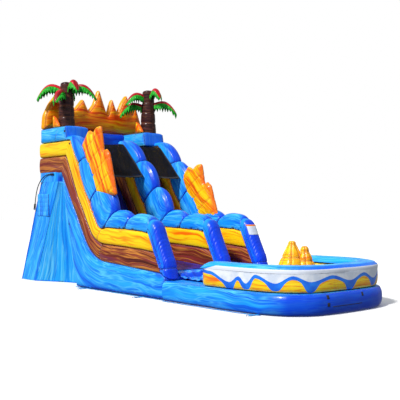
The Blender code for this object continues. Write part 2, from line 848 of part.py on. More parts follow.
def build_cap(name, side, frame, finish):
    """Blue block that closes the tower's side wall and carries a palm."""
    outline = (
        (-TOWER_REAR_BACK, WALL_TOP + GAP),
        (-CAP_FRONT_BACK, WALL_TOP + GAP),
        (-CAP_FRONT_BACK - CAP_LEAN, CAP_TOP),
        (-TOWER_REAR_BACK, CAP_TOP),
    )
    edges = sorted((side * HALF_WIDTH, side * (HALF_WIDTH - CAP_WIDTH)))
    mesh = pillow(name, outline, edges[0], edges[1], CAP_ROUNDING, across)
    return add_object(name, mesh, finish, frame)


def tube_start(with_deck, stations):
    """Seat and crest of a tube's first section."""
    if with_deck:
        start = Vector((-CAP_FRONT_BACK + 2 * GAP, WALL_TOP))
        lean = -math.atan(CAP_LEAN / CAP_HEIGHT)
        return start, start + direction(lean) * TUBE_START_HEIGHT, stations[1:]
    seat, angle, brown, top = stations[0]
    start = seat + direction(angle) * top
    return start, start + direction(angle) * TUBE_START_HEIGHT, stations[1:]


def build_wall(side, left, right, with_deck, frame, finishes):
    """One side wall: brown, yellow and humped blue chambers and the leaning front post."""
    stations = wall_stations(with_deck)
    mesh = band("wall_" + side + "_brown", stations, "brown", left, right)
    add_object("wall_" + side + "_brown", mesh, finishes["brown"], frame)
    mesh = band("wall_" + side + "_yellow", stations, "yellow", left, right)
    add_object("wall_" + side + "_yellow", mesh, finishes["yellow"], frame)
    start, start_top, rest = tube_start(with_deck, stations)
    pairs = tube_pairs(rest, start, start_top, TUBE_END_HEIGHT)
    mesh = top_tube("top_tube_" + side, pairs, left, right)
    add_object("top_tube_" + side, mesh, finishes["blue"], frame)
    rings = [plain_ring(seat, crest, left, right) for seat, crest in post_pairs(stations)]
    add_object("front_post_" + side, loft("front_post_" + side, rings), finishes["royal"], frame)
    return pairs


def build_crag(name, distance, rise, height, left, right, pairs, frame, finish):
    """Quilted rock that stands on the humped tube."""
    foot = PATH["top"] + PATH["slope"] * distance + direction(SLOPE_ANGLE) * rise
    outline = [
        (foot.x - CRAG_LENGTH * (1 - x_share), foot.y + height * z_share)
        for x_share, z_share in CRAG_SHARES
    ]
    low = left + CRAG_EDGE_DISTANCE
    high = low + CRAG_THICKNESS
    mesh = pillow(name, outline, low, high, CRAG_ROUNDING, across)
    crag = add_object(name, mesh, finish, frame)
    cutter_mesh = top_tube(name + "_seat", pairs, left, right, 3 * GAP)
    cutter = add_object(name + "_seat", cutter_mesh, finish, frame)
    apply_boolean(crag, cutter, "DIFFERENCE")
    return crag


def build_trunk(name, x, y, frame, finish):
    profile = []
    for share in TRUNK_STATION_SHARES:
        radius = TRUNK_FOOT_RADIUS + (TRUNK_HEAD_RADIUS - TRUNK_FOOT_RADIUS) * share
        profile.append(((TRUNK_HEIGHT - TRUNK_DOME) * share, radius))
    profile.append((TRUNK_HEIGHT - TRUNK_DOME * 0.35, TRUNK_HEAD_RADIUS * 0.8))
    profile.append((TRUNK_HEIGHT, TRUNK_HEAD_RADIUS * 0.4))
    centre = (0.0, 0.0, 0.0)
    rings = cylinder_rings(centre, (0, 0, 1), profile, TRUNK_SIDES)
    trunk = add_object(name, loft(name, rings), finish, frame)
    trunk.location = (x, y, CAP_TOP + GAP)
    return trunk


def trunk_radius(height):
    share = height / (TRUNK_HEIGHT - TRUNK_DOME)
    return TRUNK_FOOT_RADIUS + (TRUNK_HEAD_RADIUS - TRUNK_FOOT_RADIUS) * share


def frond_section(share):
    """Rib radius, skirt length and skirt spread at a share of the frond's length."""
    rib = FROND_RIB * (1 - 0.75 * share)
    fullness = math.sin(math.pi * min(1.0, 0.12 + 0.88 * share) ** 0.8) ** 0.6
    return rib, FROND_SKIRT * fullness, FROND_SPREAD * fullness


def build_frond(name, palm, steps, root_share, reach_share, rise_share, droop_share, frame, finish):
    """Arched rib with a ragged skirt of leaf on both sides."""
    x, y = palm
    angle = steps * FROND_STEP_ANGLE
    outward = Vector((math.cos(angle), math.sin(angle), 0.0))
    sideways = Vector((-math.sin(angle), math.cos(angle), 0.0))
    root_height = root_share * (TRUNK_HEIGHT - TRUNK_DOME)
    lower_edge = root_height - FROND_RIB * 0.6
    root = Vector((x, y, CAP_TOP + GAP + root_height))
    root += outward * (trunk_radius(lower_edge) + GAP)
    reach = FROND_REACH * reach_share
    rings = []
    for station in range(FROND_STATIONS):
        share = station / (FROND_STATIONS - 1)
        lift = reach * (rise_share * math.sin(math.pi * share) - droop_share * share ** 2.4)
        centre = root + outward * (reach * share) + Vector((0, 0, lift))
        rib, skirt, spread = frond_section(share)
        ragged = 1.0 if station % 2 else 0.62
        skirt = max(skirt * ragged, rib * 1.3) if 0 < station < FROND_STATIONS - 1 else rib * 1.25
        spread = min(spread, (trunk_radius(lower_edge) + reach * share) * FROND_WEDGE_SHARE)
        spread = max(spread, rib * 1.1) if 0 < station < FROND_STATIONS - 1 else rib * 0.9
        leaf = min(FROND_LEAF_THICKNESS, rib * 0.5)
        half_section = (
            (0.0, rib),
            (rib * 0.8, rib * 0.5),
            (spread, -skirt),
            (spread - leaf, -skirt),
            (rib * 0.35, -rib * 0.6),
        )
        ring = [centre + sideways * a + Vector((0, 0, b)) for a, b in half_section]
        ring += [centre - sideways * a + Vector((0, 0, b)) for a, b in reversed(half_section[1:])]
        rings.append(ring)
    return add_object(name, loft(name, rings), finish, frame)


def build_palm(side, x, y, fronds, frame, finishes):
    build_trunk("palm_trunk_" + side, x, y, frame, finishes["bark"])
    for number, shares in enumerate(fronds, start=1):
        name = "palm_frond_" + side + "_" + str(number)
        build_frond(name, (x, y), *shares, frame, finishes["leaf"])
    rock = [(-ROOT_ROCK_LENGTH * a, ROOT_ROCK_HEIGHT * b) for a, b in ROOT_ROCK_SHARES]
    start_x = x + ROOT_ROCK_LENGTH / 2
    near = y - trunk_radius(SEAM_PINCH) - GAP - ROOT_ROCK_DEPTH
    outline = [(start_x + a, CAP_TOP + GAP + b) for a, b in rock]
    name = "palm_rock_" + side
    mesh = pillow(name, outline, near, near + ROOT_ROCK_DEPTH, SEAM_PINCH, across)
    add_object(name, mesh, finishes["yellow"], frame)


def lane_strip(name, lower, thickness, left, right):
    """Sheet that follows a side-view line and fills a lane."""
    upper = []
    for index, point in enumerate(lower):
        before = lower[max(index - 1, 0)]
        after = lower[min(index + 1, len(lower) - 1)]
        course = (after - before).normalized()
        upper.append(point + Vector((-course.y, course.x)) * thickness)
    outline = lower + upper[::-1]
    rings = [[across(point, depth) for point in outline] for depth in (left, right)]
    return loft(name, rings)


def bed_line(lift):
    """Line just above the bearing surface, from the platform to the front of the run."""
    deck = Vector((-SLOPE_TOP_BACK - DECK_LAP, DECK_HEIGHT + lift))
    points = [deck, PATH["top"] + direction(SLOPE_ANGLE / 2) * lift / math.cos(SLOPE_ANGLE / 2)]
    for share, brown, high in BAND_SHARES:
        place, angle = bed_at(share * PATH_LENGTH)
        points.append(place + direction(angle) * lift)
    front = Vector((-RUN_FRONT_BACK, RUN_FRONT_HEIGHT)) + direction(RUN_ANGLE) * lift
    return points + [front]


def build_climb_bed(frame, finish):
    """Padded climbing ladder with a round step every stride."""
    lower = bed_line(2 * GAP)
    upper = []
    steps = CLIMB_STEPS * CLIMB_STEP_POINTS
    usable = PATH["slope_length"] + PATH["bend_length"] * 0.5
    stride = usable / CLIMB_STEPS
    deck = lower[0]
    upper.append(deck + Vector((0.0, CLIMB_BED)))
    corner = direction(SLOPE_ANGLE / 2) * CLIMB_BED / math.cos(SLOPE_ANGLE / 2)
    upper.append(lower[1] + corner)
    for number in range(CLIMB_STEPS):
        middle = stride * (number + 0.62)
        for step in range(CLIMB_STEP_POINTS + 1):
            share = step / CLIMB_STEP_POINTS
            place, angle = bed_at(middle + CLIMB_STEP_LENGTH * (share - 0.5))
            rise = CLIMB_BED + CLIMB_STEP_HEIGHT * math.sin(math.pi * share) ** 0.8
            upper.append(place + direction(angle) * rise)
    for share, brown, high in BAND_SHARES[-3:]:
        place, angle = bed_at(share * PATH_LENGTH)
        upper.append(place + direction(angle) * CLIMB_BED)
    upper.append(lower[-1] + direction(RUN_ANGLE) * CLIMB_BED)
    left = MIDDLE_RIGHT + LANE_EDGE_CLEARANCE
    right = INNER_RIGHT - LANE_EDGE_CLEARANCE
    outline = lower + upper[::-1]
    rings = [[across(point, depth) for point in outline] for depth in (left, right)]
    return add_object("climb_bed", loft("climb_bed", rings), finish, frame)


def build_canopies(frame, finish):
    """Net roof over the platform and one net over the top of each lane."""
    high = WALL_TOP - GAP - CANOPY_THICKNESS
    split = SLOPE_TOP_BACK - CANOPY_SPLIT_REACH
    roof = [Vector((GUARD_FRONT + GAP, high)), Vector((-split - GAP, high))]
    left = INNER_LEFT + LANE_EDGE_CLEARANCE
    right = INNER_RIGHT - LANE_EDGE_CLEARANCE
    mesh = lane_strip("canopy_roof", roof, CANOPY_THICKNESS, left, right)
    add_object("canopy_roof", mesh, finish, frame)
    slope = [
        Vector((-split, high)),
        Vector((CANOPY_BREAK_REACH - SLOPE_TOP_BACK, high)),
        Vector((CANOPY_FRONT_REACH - SLOPE_TOP_BACK, WALL_TOP - CANOPY_DROP)),
    ]
    lanes = (("left", left, MIDDLE_LEFT), ("right", MIDDLE_RIGHT, right))
    for side, near, far in lanes:
        near_edge = near if side == "left" else near + LANE_EDGE_CLEARANCE
        far_edge = far - LANE_EDGE_CLEARANCE if side == "left" else far
        name = "canopy_" + side
        mesh = lane_strip(name, slope, CANOPY_THICKNESS, near_edge, far_edge)
        add_object(name, mesh, finish, frame)


def build_landing_flap(frame, finish):
    """Rippled sheet that leads from the slide bed over the seam on to the pool's base."""
    left = INNER_LEFT + LANE_EDGE_CLEARANCE
    right = MIDDLE_LEFT - LANE_EDGE_CLEARANCE
    start = -RUN_FRONT_BACK + math.sin(RUN_ANGLE) * (LINER + 2 * GAP) + GAP
    rings = []
    for step in range(FLAP_STEPS + 1):
        share = step / FLAP_STEPS
        ripple = FLAP_RIPPLE * math.sin(math.pi * share * FLAP_RIPPLES) ** 2
        near = Vector((0.0, NOSE_HEIGHT + 2 * GAP))
        knee = Vector((FLAP_KNEE, POOL_BASE_HEIGHT + FLAP_THICKNESS + GAP))
        lower = [
            Vector((start, RUN_FRONT_HEIGHT + 2 * GAP)),
            near + Vector((0.0, ripple / 2)),
            knee + Vector((0.0, ripple)),
            Vector((FLAP_REACH / 2, POOL_BASE_HEIGHT + GAP + ripple)),
            Vector((FLAP_REACH, POOL_BASE_HEIGHT + GAP)),
        ]
        upper = [point + Vector((0.0, FLAP_THICKNESS)) for point in lower]
        depth = left + (right - left) * share
        rings.append([across(point, depth) for point in lower + upper[::-1]])
    mesh = loft("landing_flap", rings)
    return add_object("landing_flap", mesh, finish, frame)


def build_pool(frame, finishes):
    """Pool base, wall, rim and floor liner."""
    rounding = POOL_BASE_ROUNDING
    levels = (
        (0.0, rounding),
        (rounding * 0.5, rounding * 0.3),
        (POOL_BASE_HEIGHT / 2, 0.0),
        (POOL_BASE_HEIGHT - rounding * 0.5, rounding * 0.3),
        (POOL_BASE_HEIGHT, rounding),
    )
    half_length = POOL_ROUND
    rings = []
    for level, inset in levels:
        line = plan_line(inset, half_length, POOL_HALF, GAP)
        rings.append([Vector((point.x, point.y, level)) for point in line])
    base = add_object("pool_base", loft("pool_base", rings), finishes["blue"], frame)

    sections = []
    lines = {}
    for share, draw in BAND_SECTION_SHARES:
        inset = RING_BULGE * draw
        lines[share] = (ring_line(inset), ring_line(RING_WALL_THICKNESS - inset))
    count = len(ring_line(0.0))
    for index in range(count):
        ring = []
        for share, draw in BAND_SECTION_SHARES:
            point = lines[share][0][index]
            level = POOL_BASE_HEIGHT + GAP + (RING_WALL_HEIGHT - GAP) * share
            ring.append(Vector((point.x, point.y, level)))
        for share, draw in reversed(BAND_SECTION_SHARES):
            point = lines[share][1][index]
            level = POOL_BASE_HEIGHT + GAP + (RING_WALL_HEIGHT - GAP) * share
            ring.append(Vector((point.x, point.y, level)))
        sections.append(ring)
    add_object("pool_wall", loft("pool_wall", sections), finishes["drip"], frame)

    overhang = (RIM_WIDTH - RING_WALL_THICKNESS) / 2
    sections = []
    rim_lines = []
    for degrees in RIM_RING_DEGREES:
        angle = math.radians(degrees)
        side = math.copysign(abs(math.cos(angle)) ** 0.8, math.cos(angle))
        inset = RING_WALL_THICKNESS / 2 - side * (RING_WALL_THICKNESS / 2 + overhang)
        rim_lines.append((ring_line(inset), math.sin(angle) ** 0.8))
    for index, height in enumerate(rim_heights(count)):
        ring = []
        for line, rise in rim_lines:
            level = RING_TOP + GAP + (RIM_HEIGHT - GAP) * rise * height
            ring.append(Vector((line[index].x, line[index].y, level)))
        sections.append(ring)
    add_object("pool_rim", loft("pool_rim", sections), finishes["azure"], frame)

    inset = RING_WALL_THICKNESS + LINER_CLEARANCE
    line = plan_line(inset, RING_HALF_LENGTH, RING_HALF_WIDTH, RING_START)
    rings = []
    for level in (POOL_BASE_HEIGHT + GAP, POOL_BASE_HEIGHT + GAP + LINER_SKIN):
        rings.append([Vector((point.x, point.y, level)) for point in line])
    add_object("pool_liner", loft("pool_liner", rings), finishes["royal"], frame)
    return base


def cone_mesh(name, centre, height, radius, turn):
    rings = []
    for radius_share, height_share in CONE_PROFILE_SHARES:
        ring = []
        for index in range(CONE_SIDES):
            angle = 2 * math.pi * index / CONE_SIDES + turn
            lump = 1 + (CONE_LUMP_SHARE if index % 2 else -CONE_LUMP_SHARE)
            reach = radius * radius_share * lump
            ring.append(
                Vector(centre)
                + Vector((reach * math.cos(angle), reach * math.sin(angle), height * height_share))
            )
        rings.append(ring)
    tip = radius * 0.1
    crown = []
    for index in range(CONE_SIDES):
        angle = 2 * math.pi * index / CONE_SIDES + turn
        crown.append(Vector(centre) + Vector((tip * math.cos(angle), tip * math.sin(angle), height)))
    rings.append(crown)
    return loft(name, rings)


def build_pool_rock(frame, finish):
    """Two-peaked quilted rock that stands on the pool's floor."""
    floor = POOL_BASE_HEIGHT + LINER_SKIN + 2 * GAP
    tall = (POOL_STRAIGHT + CONE_TALL_AHEAD, CONE_TALL_ASIDE, floor)
    low = (POOL_STRAIGHT + CONE_LOW_AHEAD, CONE_LOW_ASIDE, floor)
    mesh = cone_mesh("pool_rock", tall, CONE_TALL_HEIGHT, CONE_TALL_RADIUS, 0.0)
    rock = add_object("pool_rock", mesh, finish, frame)
    mesh = cone_mesh("pool_rock_low", low, CONE_LOW_HEIGHT, CONE_LOW_RADIUS, CONE_LOW_TURN)
    low_peak = add_object("pool_rock_low", mesh, finish, frame)
    apply_boolean(rock, low_peak, "UNION")


def anchor_eye_centre(x, side, edge):
    return Vector((x, side * (edge + ANCHOR_TAB_LENGTH), ANCHOR_EYE_RADIUS))


def add_anchor(body, number, x, side, edge, frame, finishes):
    """Webbing tab with an eye, joined to its module, and the ring that hangs in the eye."""
    eye = anchor_eye_centre(x, side, edge)
    half = ANCHOR_TAB_WIDTH / 2
    outer = eye.y - side * ANCHOR_EYE_RADIUS * 0.7
    inner = side * (edge - ANCHOR_BURIED)
    corners = [
        Vector((x + a * half, y, z))
        for z in (0.0, ANCHOR_TAB_THICKNESS)
        for a, y in ((-1, inner), (1, inner), (1, outer), (-1, outer))
    ]
    faces = [(0, 1, 2, 3), (4, 5, 6, 7), (0, 1, 5, 4), (1, 2, 6, 5), (2, 3, 7, 6), (3, 0, 4, 7)]
    name = "anchor_tab_" + str(number)
    tab = add_object(name, mesh_of(name, corners, faces), finishes["webbing"], frame)
    profile = ((-half, ANCHOR_EYE_RADIUS), (half, ANCHOR_EYE_RADIUS))
    rings = cylinder_rings(eye, (1, 0, 0), profile, HOSE_SIDES)
    name = "anchor_eye_" + str(number)
    eyelet = add_object(name, loft(name, rings), finishes["webbing"], frame)
    bore_radius = (ANCHOR_RING_BAR / 2 + GAP) / math.cos(math.pi / HOSE_SIDES)
    profile = ((-half - OVERRUN, bore_radius), (half + OVERRUN, bore_radius))
    rings = cylinder_rings(eye, (1, 0, 0), profile, HOSE_SIDES)
    name = "anchor_bore_" + str(number)
    bore = add_object(name, loft(name, rings), finishes["webbing"], frame)
    apply_boolean(body, tab, "UNION")
    apply_boolean(body, eyelet, "UNION")
    apply_boolean(body, bore, "DIFFERENCE")
    add_anchor_ring("anchor_ring_" + str(number), eye, side, frame, finishes["steel"])


def add_anchor_ring(name, eye, side, frame, finish):
    """Steel ring: a straight bar through the eye and a bow that lies on the ground."""
    bar = ANCHOR_RING_BAR / 2
    half = ANCHOR_RING_WIDTH / 2
    points = [Vector((0.0, 0.0)), Vector((half - bar, 0.0))]
    reach = ANCHOR_RING_LENGTH - half
    points.append(Vector((half, bar)))
    for step in range(ANCHOR_RING_BEND_POINTS + 1):
        angle = math.pi * step / ANCHOR_RING_BEND_POINTS
        points.append(Vector((half * math.cos(angle), reach + half * math.sin(angle))))
    points.append(Vector((-half, bar)))
    points.append(Vector((-half + bar, 0.0)))
    tilt = math.asin((ANCHOR_EYE_RADIUS - bar - GAP) / ANCHOR_RING_LENGTH)
    outward = Vector((0.0, side * math.cos(tilt), -math.sin(tilt)))
    lift = Vector((0.0, side * math.sin(tilt), math.cos(tilt)))
    across_ring = Vector((1.0, 0.0, 0.0))
    rings = []
    count = len(points)
    for index in range(count):
        before = points[index - 1]
        after = points[(index + 1) % count]
        course = (after - before).normalized()
        normal = Vector((course.y, -course.x))
        ring = []
        for corner in range(6):
            angle = math.pi * corner / 3
            flat = points[index] + normal * (bar * math.cos(angle))
            place = across_ring * flat.x + outward * flat.y + lift * (bar * math.sin(angle))
            ring.append(place)
        rings.append(ring)
    made = add_object(name, loft(name, rings, closed=True), finish, frame)
    made.location = eye
    return made


def build_sleeve(frame, finish):
    """Open fabric tube at the back that a blower's nozzle goes into."""
    outer = SLEEVE_RADIUS
    inner = SLEEVE_RADIUS - SLEEVE_WALL
    start = rear_line(SLEEVE_RADIUS) - REAR_TUBE_BULGE
    rings = []
    for radius, back in (
        (outer, start),
        (outer, SLEEVE_END_BACK),
        (inner, SLEEVE_END_BACK),
        (inner, start + SLEEVE_WALL),
    ):
        ring = []
        for index in range(SLEEVE_SIDES):
            angle = 2 * math.pi * index / SLEEVE_SIDES
            y = SLEEVE_OFFSET_Y + radius * math.sin(angle)
            z = outer + radius * math.cos(angle)
            slope_back = back
            if back in (start, start + SLEEVE_WALL):
                slope_back = rear_line(z) + GAP + (back - start)
            ring.append(Vector((-slope_back, y, z)))
        rings.append(ring)
    return add_object("inflation_sleeve", loft("inflation_sleeve", rings), finish, frame)


def build_zip_flap(frame, finish):
    """Quilted flap over the deflation zip, hinged along its top edge."""
    top = SLAB_UNDERSIDE - ZIP_FLAP_DROP
    middle = top - ZIP_FLAP_HEIGHT / 2
    back = (rear_line(middle) + column_front(middle)) / 2
    hinge = Vector((-back, -HALF_WIDTH - GAP - ZIP_FLAP_THICKNESS / 2, top))
    half = ZIP_FLAP_WIDTH / 2
    rows = ZIP_FLAP_QUILTS * 2
    rings = []
    for row in range(rows + 1):
        level = -ZIP_FLAP_HEIGHT * row / rows
        puff = ZIP_FLAP_QUILT_DEPTH if row % 2 else 0.0
        inner = ZIP_FLAP_THICKNESS / 2
        outer = -ZIP_FLAP_THICKNESS / 2 - puff
        rings.append(
            [
                Vector((-half, inner, level)),
                Vector((half, inner, level)),
                Vector((half, outer, level)),
                Vector((-half, outer, level)),
            ]
        )
    flap = add_object("deflation_flap", loft("deflation_flap", rings), finish, frame)
    flap.location = hinge
    return flap


def catmull_rom(points, share):
    """Point on the smooth curve through the route's points."""
    place = share * (len(points) - 1)
    index = min(int(place), len(points) - 2)
    t = place - index
    first = points[max(index - 1, 0)]
    start = points[index]
    end = points[index + 1]
    last = points[min(index + 2, len(points) - 1)]
    return 0.5 * (
        2 * start
        + (end - first) * t
        + (2 * first - 5 * start + 4 * end - last) * t * t
        + (3 * start - first - 3 * end + last) * t ** 3
    )


def build_hose(frame, black, brass):
    route = [Vector(point) for point in HOSE_POINTS]
    length = sum((after - before).length for before, after in zip(route, route[1:]))
    count = max(2, round(length / (HOSE_DIAMETER * 2)))
    curve = bpy.data.curves.new("water_hose", "CURVE")
    curve.dimensions = "3D"
    curve.bevel_depth = HOSE_DIAMETER / 2
    curve.bevel_resolution = 2
    curve.use_fill_caps = True
    spline = curve.splines.new("POLY")
    spline.points.add(count)
    for index in range(count + 1):
        place = catmull_rom(route, index / count)
        spline.points[index].co = (*place, 1.0)
    curve.materials.append(black)
    hose = bpy.data.objects.new("water_hose", curve)
    bpy.context.scene.collection.objects.link(hose)
    hose.parent = frame

    side = -HALF_WIDTH - HOSE_SLEEVE_RADIUS - GAP
    start = Vector((-SLOPE_TOP_BACK - HOSE_SLEEVE_SETBACK, side, DECK_HEIGHT - HOSE_SLEEVE_DROP))
    axis = Vector((1.0, 0.0, 0.0))
    profile = (
        (0.0, HOSE_SLEEVE_RADIUS * 0.8),
        (HOSE_SLEEVE_LENGTH * 0.15, HOSE_SLEEVE_RADIUS),
        (HOSE_SLEEVE_LENGTH * 0.85, HOSE_SLEEVE_RADIUS),
        (HOSE_SLEEVE_LENGTH, HOSE_SLEEVE_RADIUS * 0.8),
    )
    rings = cylinder_rings(start, axis, profile, HOSE_SIDES)
    add_object("hose_sleeve", loft("hose_sleeve", rings), black, frame)

    axis = (route[-1] - route[-2]).normalized()
    end = route[-1] + axis * GAP
    profile = (
        (0.0, VALVE_RADIUS * 0.7),
        (VALVE_LENGTH * 0.12, VALVE_RADIUS),
        (VALVE_LENGTH * 0.88, VALVE_RADIUS),
        (VALVE_LENGTH, VALVE_RADIUS * 0.8),
        (VALVE_LENGTH, VALVE_NECK_RADIUS),
        (VALVE_LENGTH + VALVE_NECK_LENGTH, VALVE_NECK_RADIUS),
    )
    rings = cylinder_rings(end, axis, profile, HOSE_SIDES)
    add_object("hose_valve", loft("hose_valve", rings), black, frame)

    bore = VALVE_NECK_RADIUS + COLLAR_CLEARANCE
    low = VALVE_LENGTH + COLLAR_CLEARANCE
    sides = COLLAR_RIBS * 2
    rings = []
    section = (
        (low, bore),
        (low, COLLAR_RADIUS),
        (low + COLLAR_LENGTH, COLLAR_RADIUS),
        (low + COLLAR_LENGTH, bore),
    )
    for distance, radius in section:
        plain = cylinder_rings(end, axis, ((distance, 1.0),), sides)[0]
        centre = end + axis * distance
        ring = []
        for index, point in enumerate(plain):
            rib = COLLAR_RIB_DEPTH if index % 2 and radius == COLLAR_RADIUS else 0.0
            ring.append(centre + (point - centre) * (radius - rib))
        rings.append(ring)
    collar = add_object("hose_collar", loft("hose_collar", rings, closed=True), brass, frame)
    return collar


def main():
    clear_scene()
    finishes = {
        "blue": material("blue_vinyl", (0.03, 0.33, 0.92), 0.32),
        "azure": material("azure_vinyl", (0.06, 0.50, 0.95), 0.32),
        "royal": material("royal_blue_vinyl", (0.01, 0.12, 0.78), 0.32),
        "brown": material("brown_vinyl", (0.16, 0.05, 0.03), 0.35),
        "yellow": material("yellow_vinyl", (1.0, 0.62, 0.02), 0.33),
        "orange": material("orange_vinyl", (0.78, 0.25, 0.03), 0.36),
        "drip": material("drip_vinyl", (0.95, 0.72, 0.25), 0.33),
        "bark": material("bark_vinyl", (0.10, 0.035, 0.03), 0.4),
        "leaf": material("leaf_vinyl", (0.03, 0.55, 0.10), 0.4),
        "net": material("black_net", (0.01, 0.01, 0.012), 0.8),
        "bed": material("bed_liner", (0.08, 0.05, 0.40), 0.2),
        "webbing": material("webbing", (0.05, 0.45, 0.85), 0.7),
        "black": material("black_rubber", (0.01, 0.01, 0.01), 0.5),
        "steel": material("steel", (0.6, 0.6, 0.62), 0.3, 1.0),
    }
    frame = bpy.data.objects.new("slide_frame", None)
    bpy.context.scene.collection.objects.link(frame)
    frame.location = (SEAM_X, 0.0, 0.0)

    slide_body = build_slide_body(frame, finishes["blue"])
    build_rear_wall(frame, finishes["blue"])
    build_side_curtain("side_curtain_left", -1, frame, finishes["blue"])
    build_side_curtain("side_curtain_right", 1, frame, finishes["blue"])
    build_tower(frame, finishes["blue"], finishes["royal"], finishes["orange"])

    left_pairs = build_wall("left", -HALF_WIDTH, INNER_LEFT, True, frame, finishes)
    build_wall("middle", MIDDLE_LEFT, MIDDLE_RIGHT, False, frame, finishes)
    right_pairs = build_wall("right", INNER_RIGHT, HALF_WIDTH, True, frame, finishes)
    build_cap("cap_left", -1, frame, finishes["azure"])
    build_cap("cap_right", 1, frame, finishes["azure"])
    build_crag(
        "crag_left", CRAG_LEFT_DISTANCE, CRAG_LEFT_RISE, CRAG_LEFT_HEIGHT,
        -HALF_WIDTH, INNER_LEFT, left_pairs, frame, finishes["yellow"],
    )
    build_crag(
        "crag_right", CRAG_RIGHT_DISTANCE, CRAG_RIGHT_RISE, CRAG_RIGHT_HEIGHT,
        INNER_RIGHT, HALF_WIDTH, right_pairs, frame, finishes["yellow"],
    )
    palm_y = HALF_WIDTH - PALM_EDGE_DISTANCE
    palm_x = -CAP_FRONT_BACK - PALM_LEFT_SETBACK
    build_palm("left", palm_x, -palm_y, LEFT_FROND_SHARES, frame, finishes)
    palm_x = -CAP_FRONT_BACK - PALM_RIGHT_SETBACK
    build_palm("right", palm_x, palm_y, RIGHT_FROND_SHARES, frame, finishes)

    left = INNER_LEFT + LANE_EDGE_CLEARANCE
    right = MIDDLE_LEFT - LANE_EDGE_CLEARANCE
    mesh = lane_strip("slide_bed", bed_line(2 * GAP), LINER, left, right)
    add_object("slide_bed", mesh, finishes["bed"], frame)
    build_climb_bed(frame, finishes["bed"])
    build_canopies(frame, finishes["net"])
    build_landing_flap(frame, finishes["bed"])

    pool_base = build_pool(frame, finishes)
    build_pool_rock(frame, finishes["yellow"])
    number = 1
    for side in (-1, 1):
        for back in (LEG_FOOT_BACK - ANCHOR_LEG_DISTANCE, ANCHOR_SEAM_DISTANCE):
            add_anchor(slide_body, number, -back, side, HALF_WIDTH, frame, finishes)
            number += 1
        pool_x = POOL_STRAIGHT + ANCHOR_POOL_DISTANCE
        edge = plan_half_width(pool_x)
        add_anchor(pool_base, number, pool_x, side, edge, frame, finishes)
        number += 1
    build_sleeve(frame, finishes["blue"])
    build_zip_flap(frame, finishes["blue"])
    build_hose(frame, finishes["black"], finishes["steel"])


main()
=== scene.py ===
"""Looks of the inflatable water slide: every air chamber as a sewn, puckered vinyl skin.

Sizes are those of the construction, in metres. Places along X are measured from the seam
between the slide module and the pool module, and every mesh is moved by SEAM_X at the end.
Each skin carries two maps: "Flow" runs along the printed marbling, in metres, and "Seam" holds
the distance to the nearest seam and the place along it.
"""

import math

import bmesh
import bpy
import numpy as np
from mathutils import Matrix, Vector
from mathutils.geometry import delaunay_2d_cdt


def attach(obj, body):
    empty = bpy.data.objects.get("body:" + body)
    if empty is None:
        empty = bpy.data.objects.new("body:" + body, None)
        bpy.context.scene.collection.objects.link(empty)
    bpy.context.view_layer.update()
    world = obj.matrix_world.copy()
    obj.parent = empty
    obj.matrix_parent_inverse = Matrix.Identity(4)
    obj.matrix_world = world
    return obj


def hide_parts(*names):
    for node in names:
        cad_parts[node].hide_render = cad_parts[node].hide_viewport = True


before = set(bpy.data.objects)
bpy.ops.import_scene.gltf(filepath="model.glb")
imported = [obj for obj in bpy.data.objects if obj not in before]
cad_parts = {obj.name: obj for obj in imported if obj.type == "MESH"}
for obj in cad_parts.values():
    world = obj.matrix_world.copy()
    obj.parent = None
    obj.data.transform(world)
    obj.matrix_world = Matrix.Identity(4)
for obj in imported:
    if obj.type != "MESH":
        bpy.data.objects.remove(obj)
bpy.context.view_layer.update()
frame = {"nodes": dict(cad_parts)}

# Sizes of the construction
GAP = 0.0003
WALL_THICKNESS = 0.42
SLIDE_LANE_WIDTH = 1.23
CLIMB_LANE_WIDTH = 0.81
SEAM_PINCH = 0.03
RUN_FRONT_BACK = 0.20
BEND_BACK = 2.895
DECK_DEPTH = 1.12
LEG_LEAN = 0.72
REAR_SPLAY = 1.10
REAR_COLUMN_FOOT_DEPTH = 0.85
REAR_COLUMN_HEAD_DEPTH = 0.95
DECK_HEIGHT = 2.95
DECK_SLAB = 0.25
RUN_FRONT_HEIGHT = 0.60
NOSE_HEIGHT = 0.50
BROWN_BAND = 0.41
YELLOW_BAND = 0.39
CAP_HEIGHT = 0.40
SIDE_ROUNDING = 0.06
SLOPE_ANGLE = math.radians(55.8)
RUN_ANGLE = math.radians(3.5)
BED_BEND_RADIUS = 1.10
MIDDLE_WALL_START_ANGLE = math.radians(15)
BAND_SHARES = (
    (0.048, 0.88, 0.925),
    (0.114, 0.78, 0.86),
    (0.19, 0.71, 0.80),
    (0.30, 0.71, 0.775),
    (0.40, 0.73, 0.79),
    (0.44, 0.79, 0.82),
    (0.48, 0.85, 0.88),
    (0.52, 0.90, 0.94),
    (0.56, 0.94, 0.98),
    (0.60, 0.97, 1.00),
    (0.72, 1.00, 1.02),
    (0.86, 1.02, 1.04),
)
TUBE_HEIGHT = 0.42
TUBE_START_HEIGHT = 0.13
TUBE_END_HEIGHT = 0.26
HUMP_SHARES = (
    (0.18, 1.21, 0.974, 0.168),
    (0.42, 0.80, 1.434, 0.181),
    (0.62, 0.77, 1.282, 0.215),
    (0.80, 0.548, 0.768, 0.166),
)
LAST_HUMP_SHARE = 0.165
TUBE_ROUNDNESS = 2.6
POST_LEAN = math.radians(27.6)
POST_DEPTH = 0.27
POST_FOOT_REACH = 0.30
POST_SHOULDER_SHARES = ((0.03, 0.48, 0.94), (0.10, 0.87, 0.58))
REAR_TUBES = 6
REAR_TUBE_BULGE = 0.09
CURTAIN_THICKNESS = 0.012
CURTAIN_TOP_RECESS = 0.10
CURTAIN_FOOT_RECESS = 0.60
CURTAIN_FOLD = 0.03
CURTAIN_FOLDS = 4
CURTAIN_PRINT_WIDTH = 1.5
GUARD_DEPTH = 0.40
CAP_WIDTH = 0.76
CAP_ROUNDING = 0.07
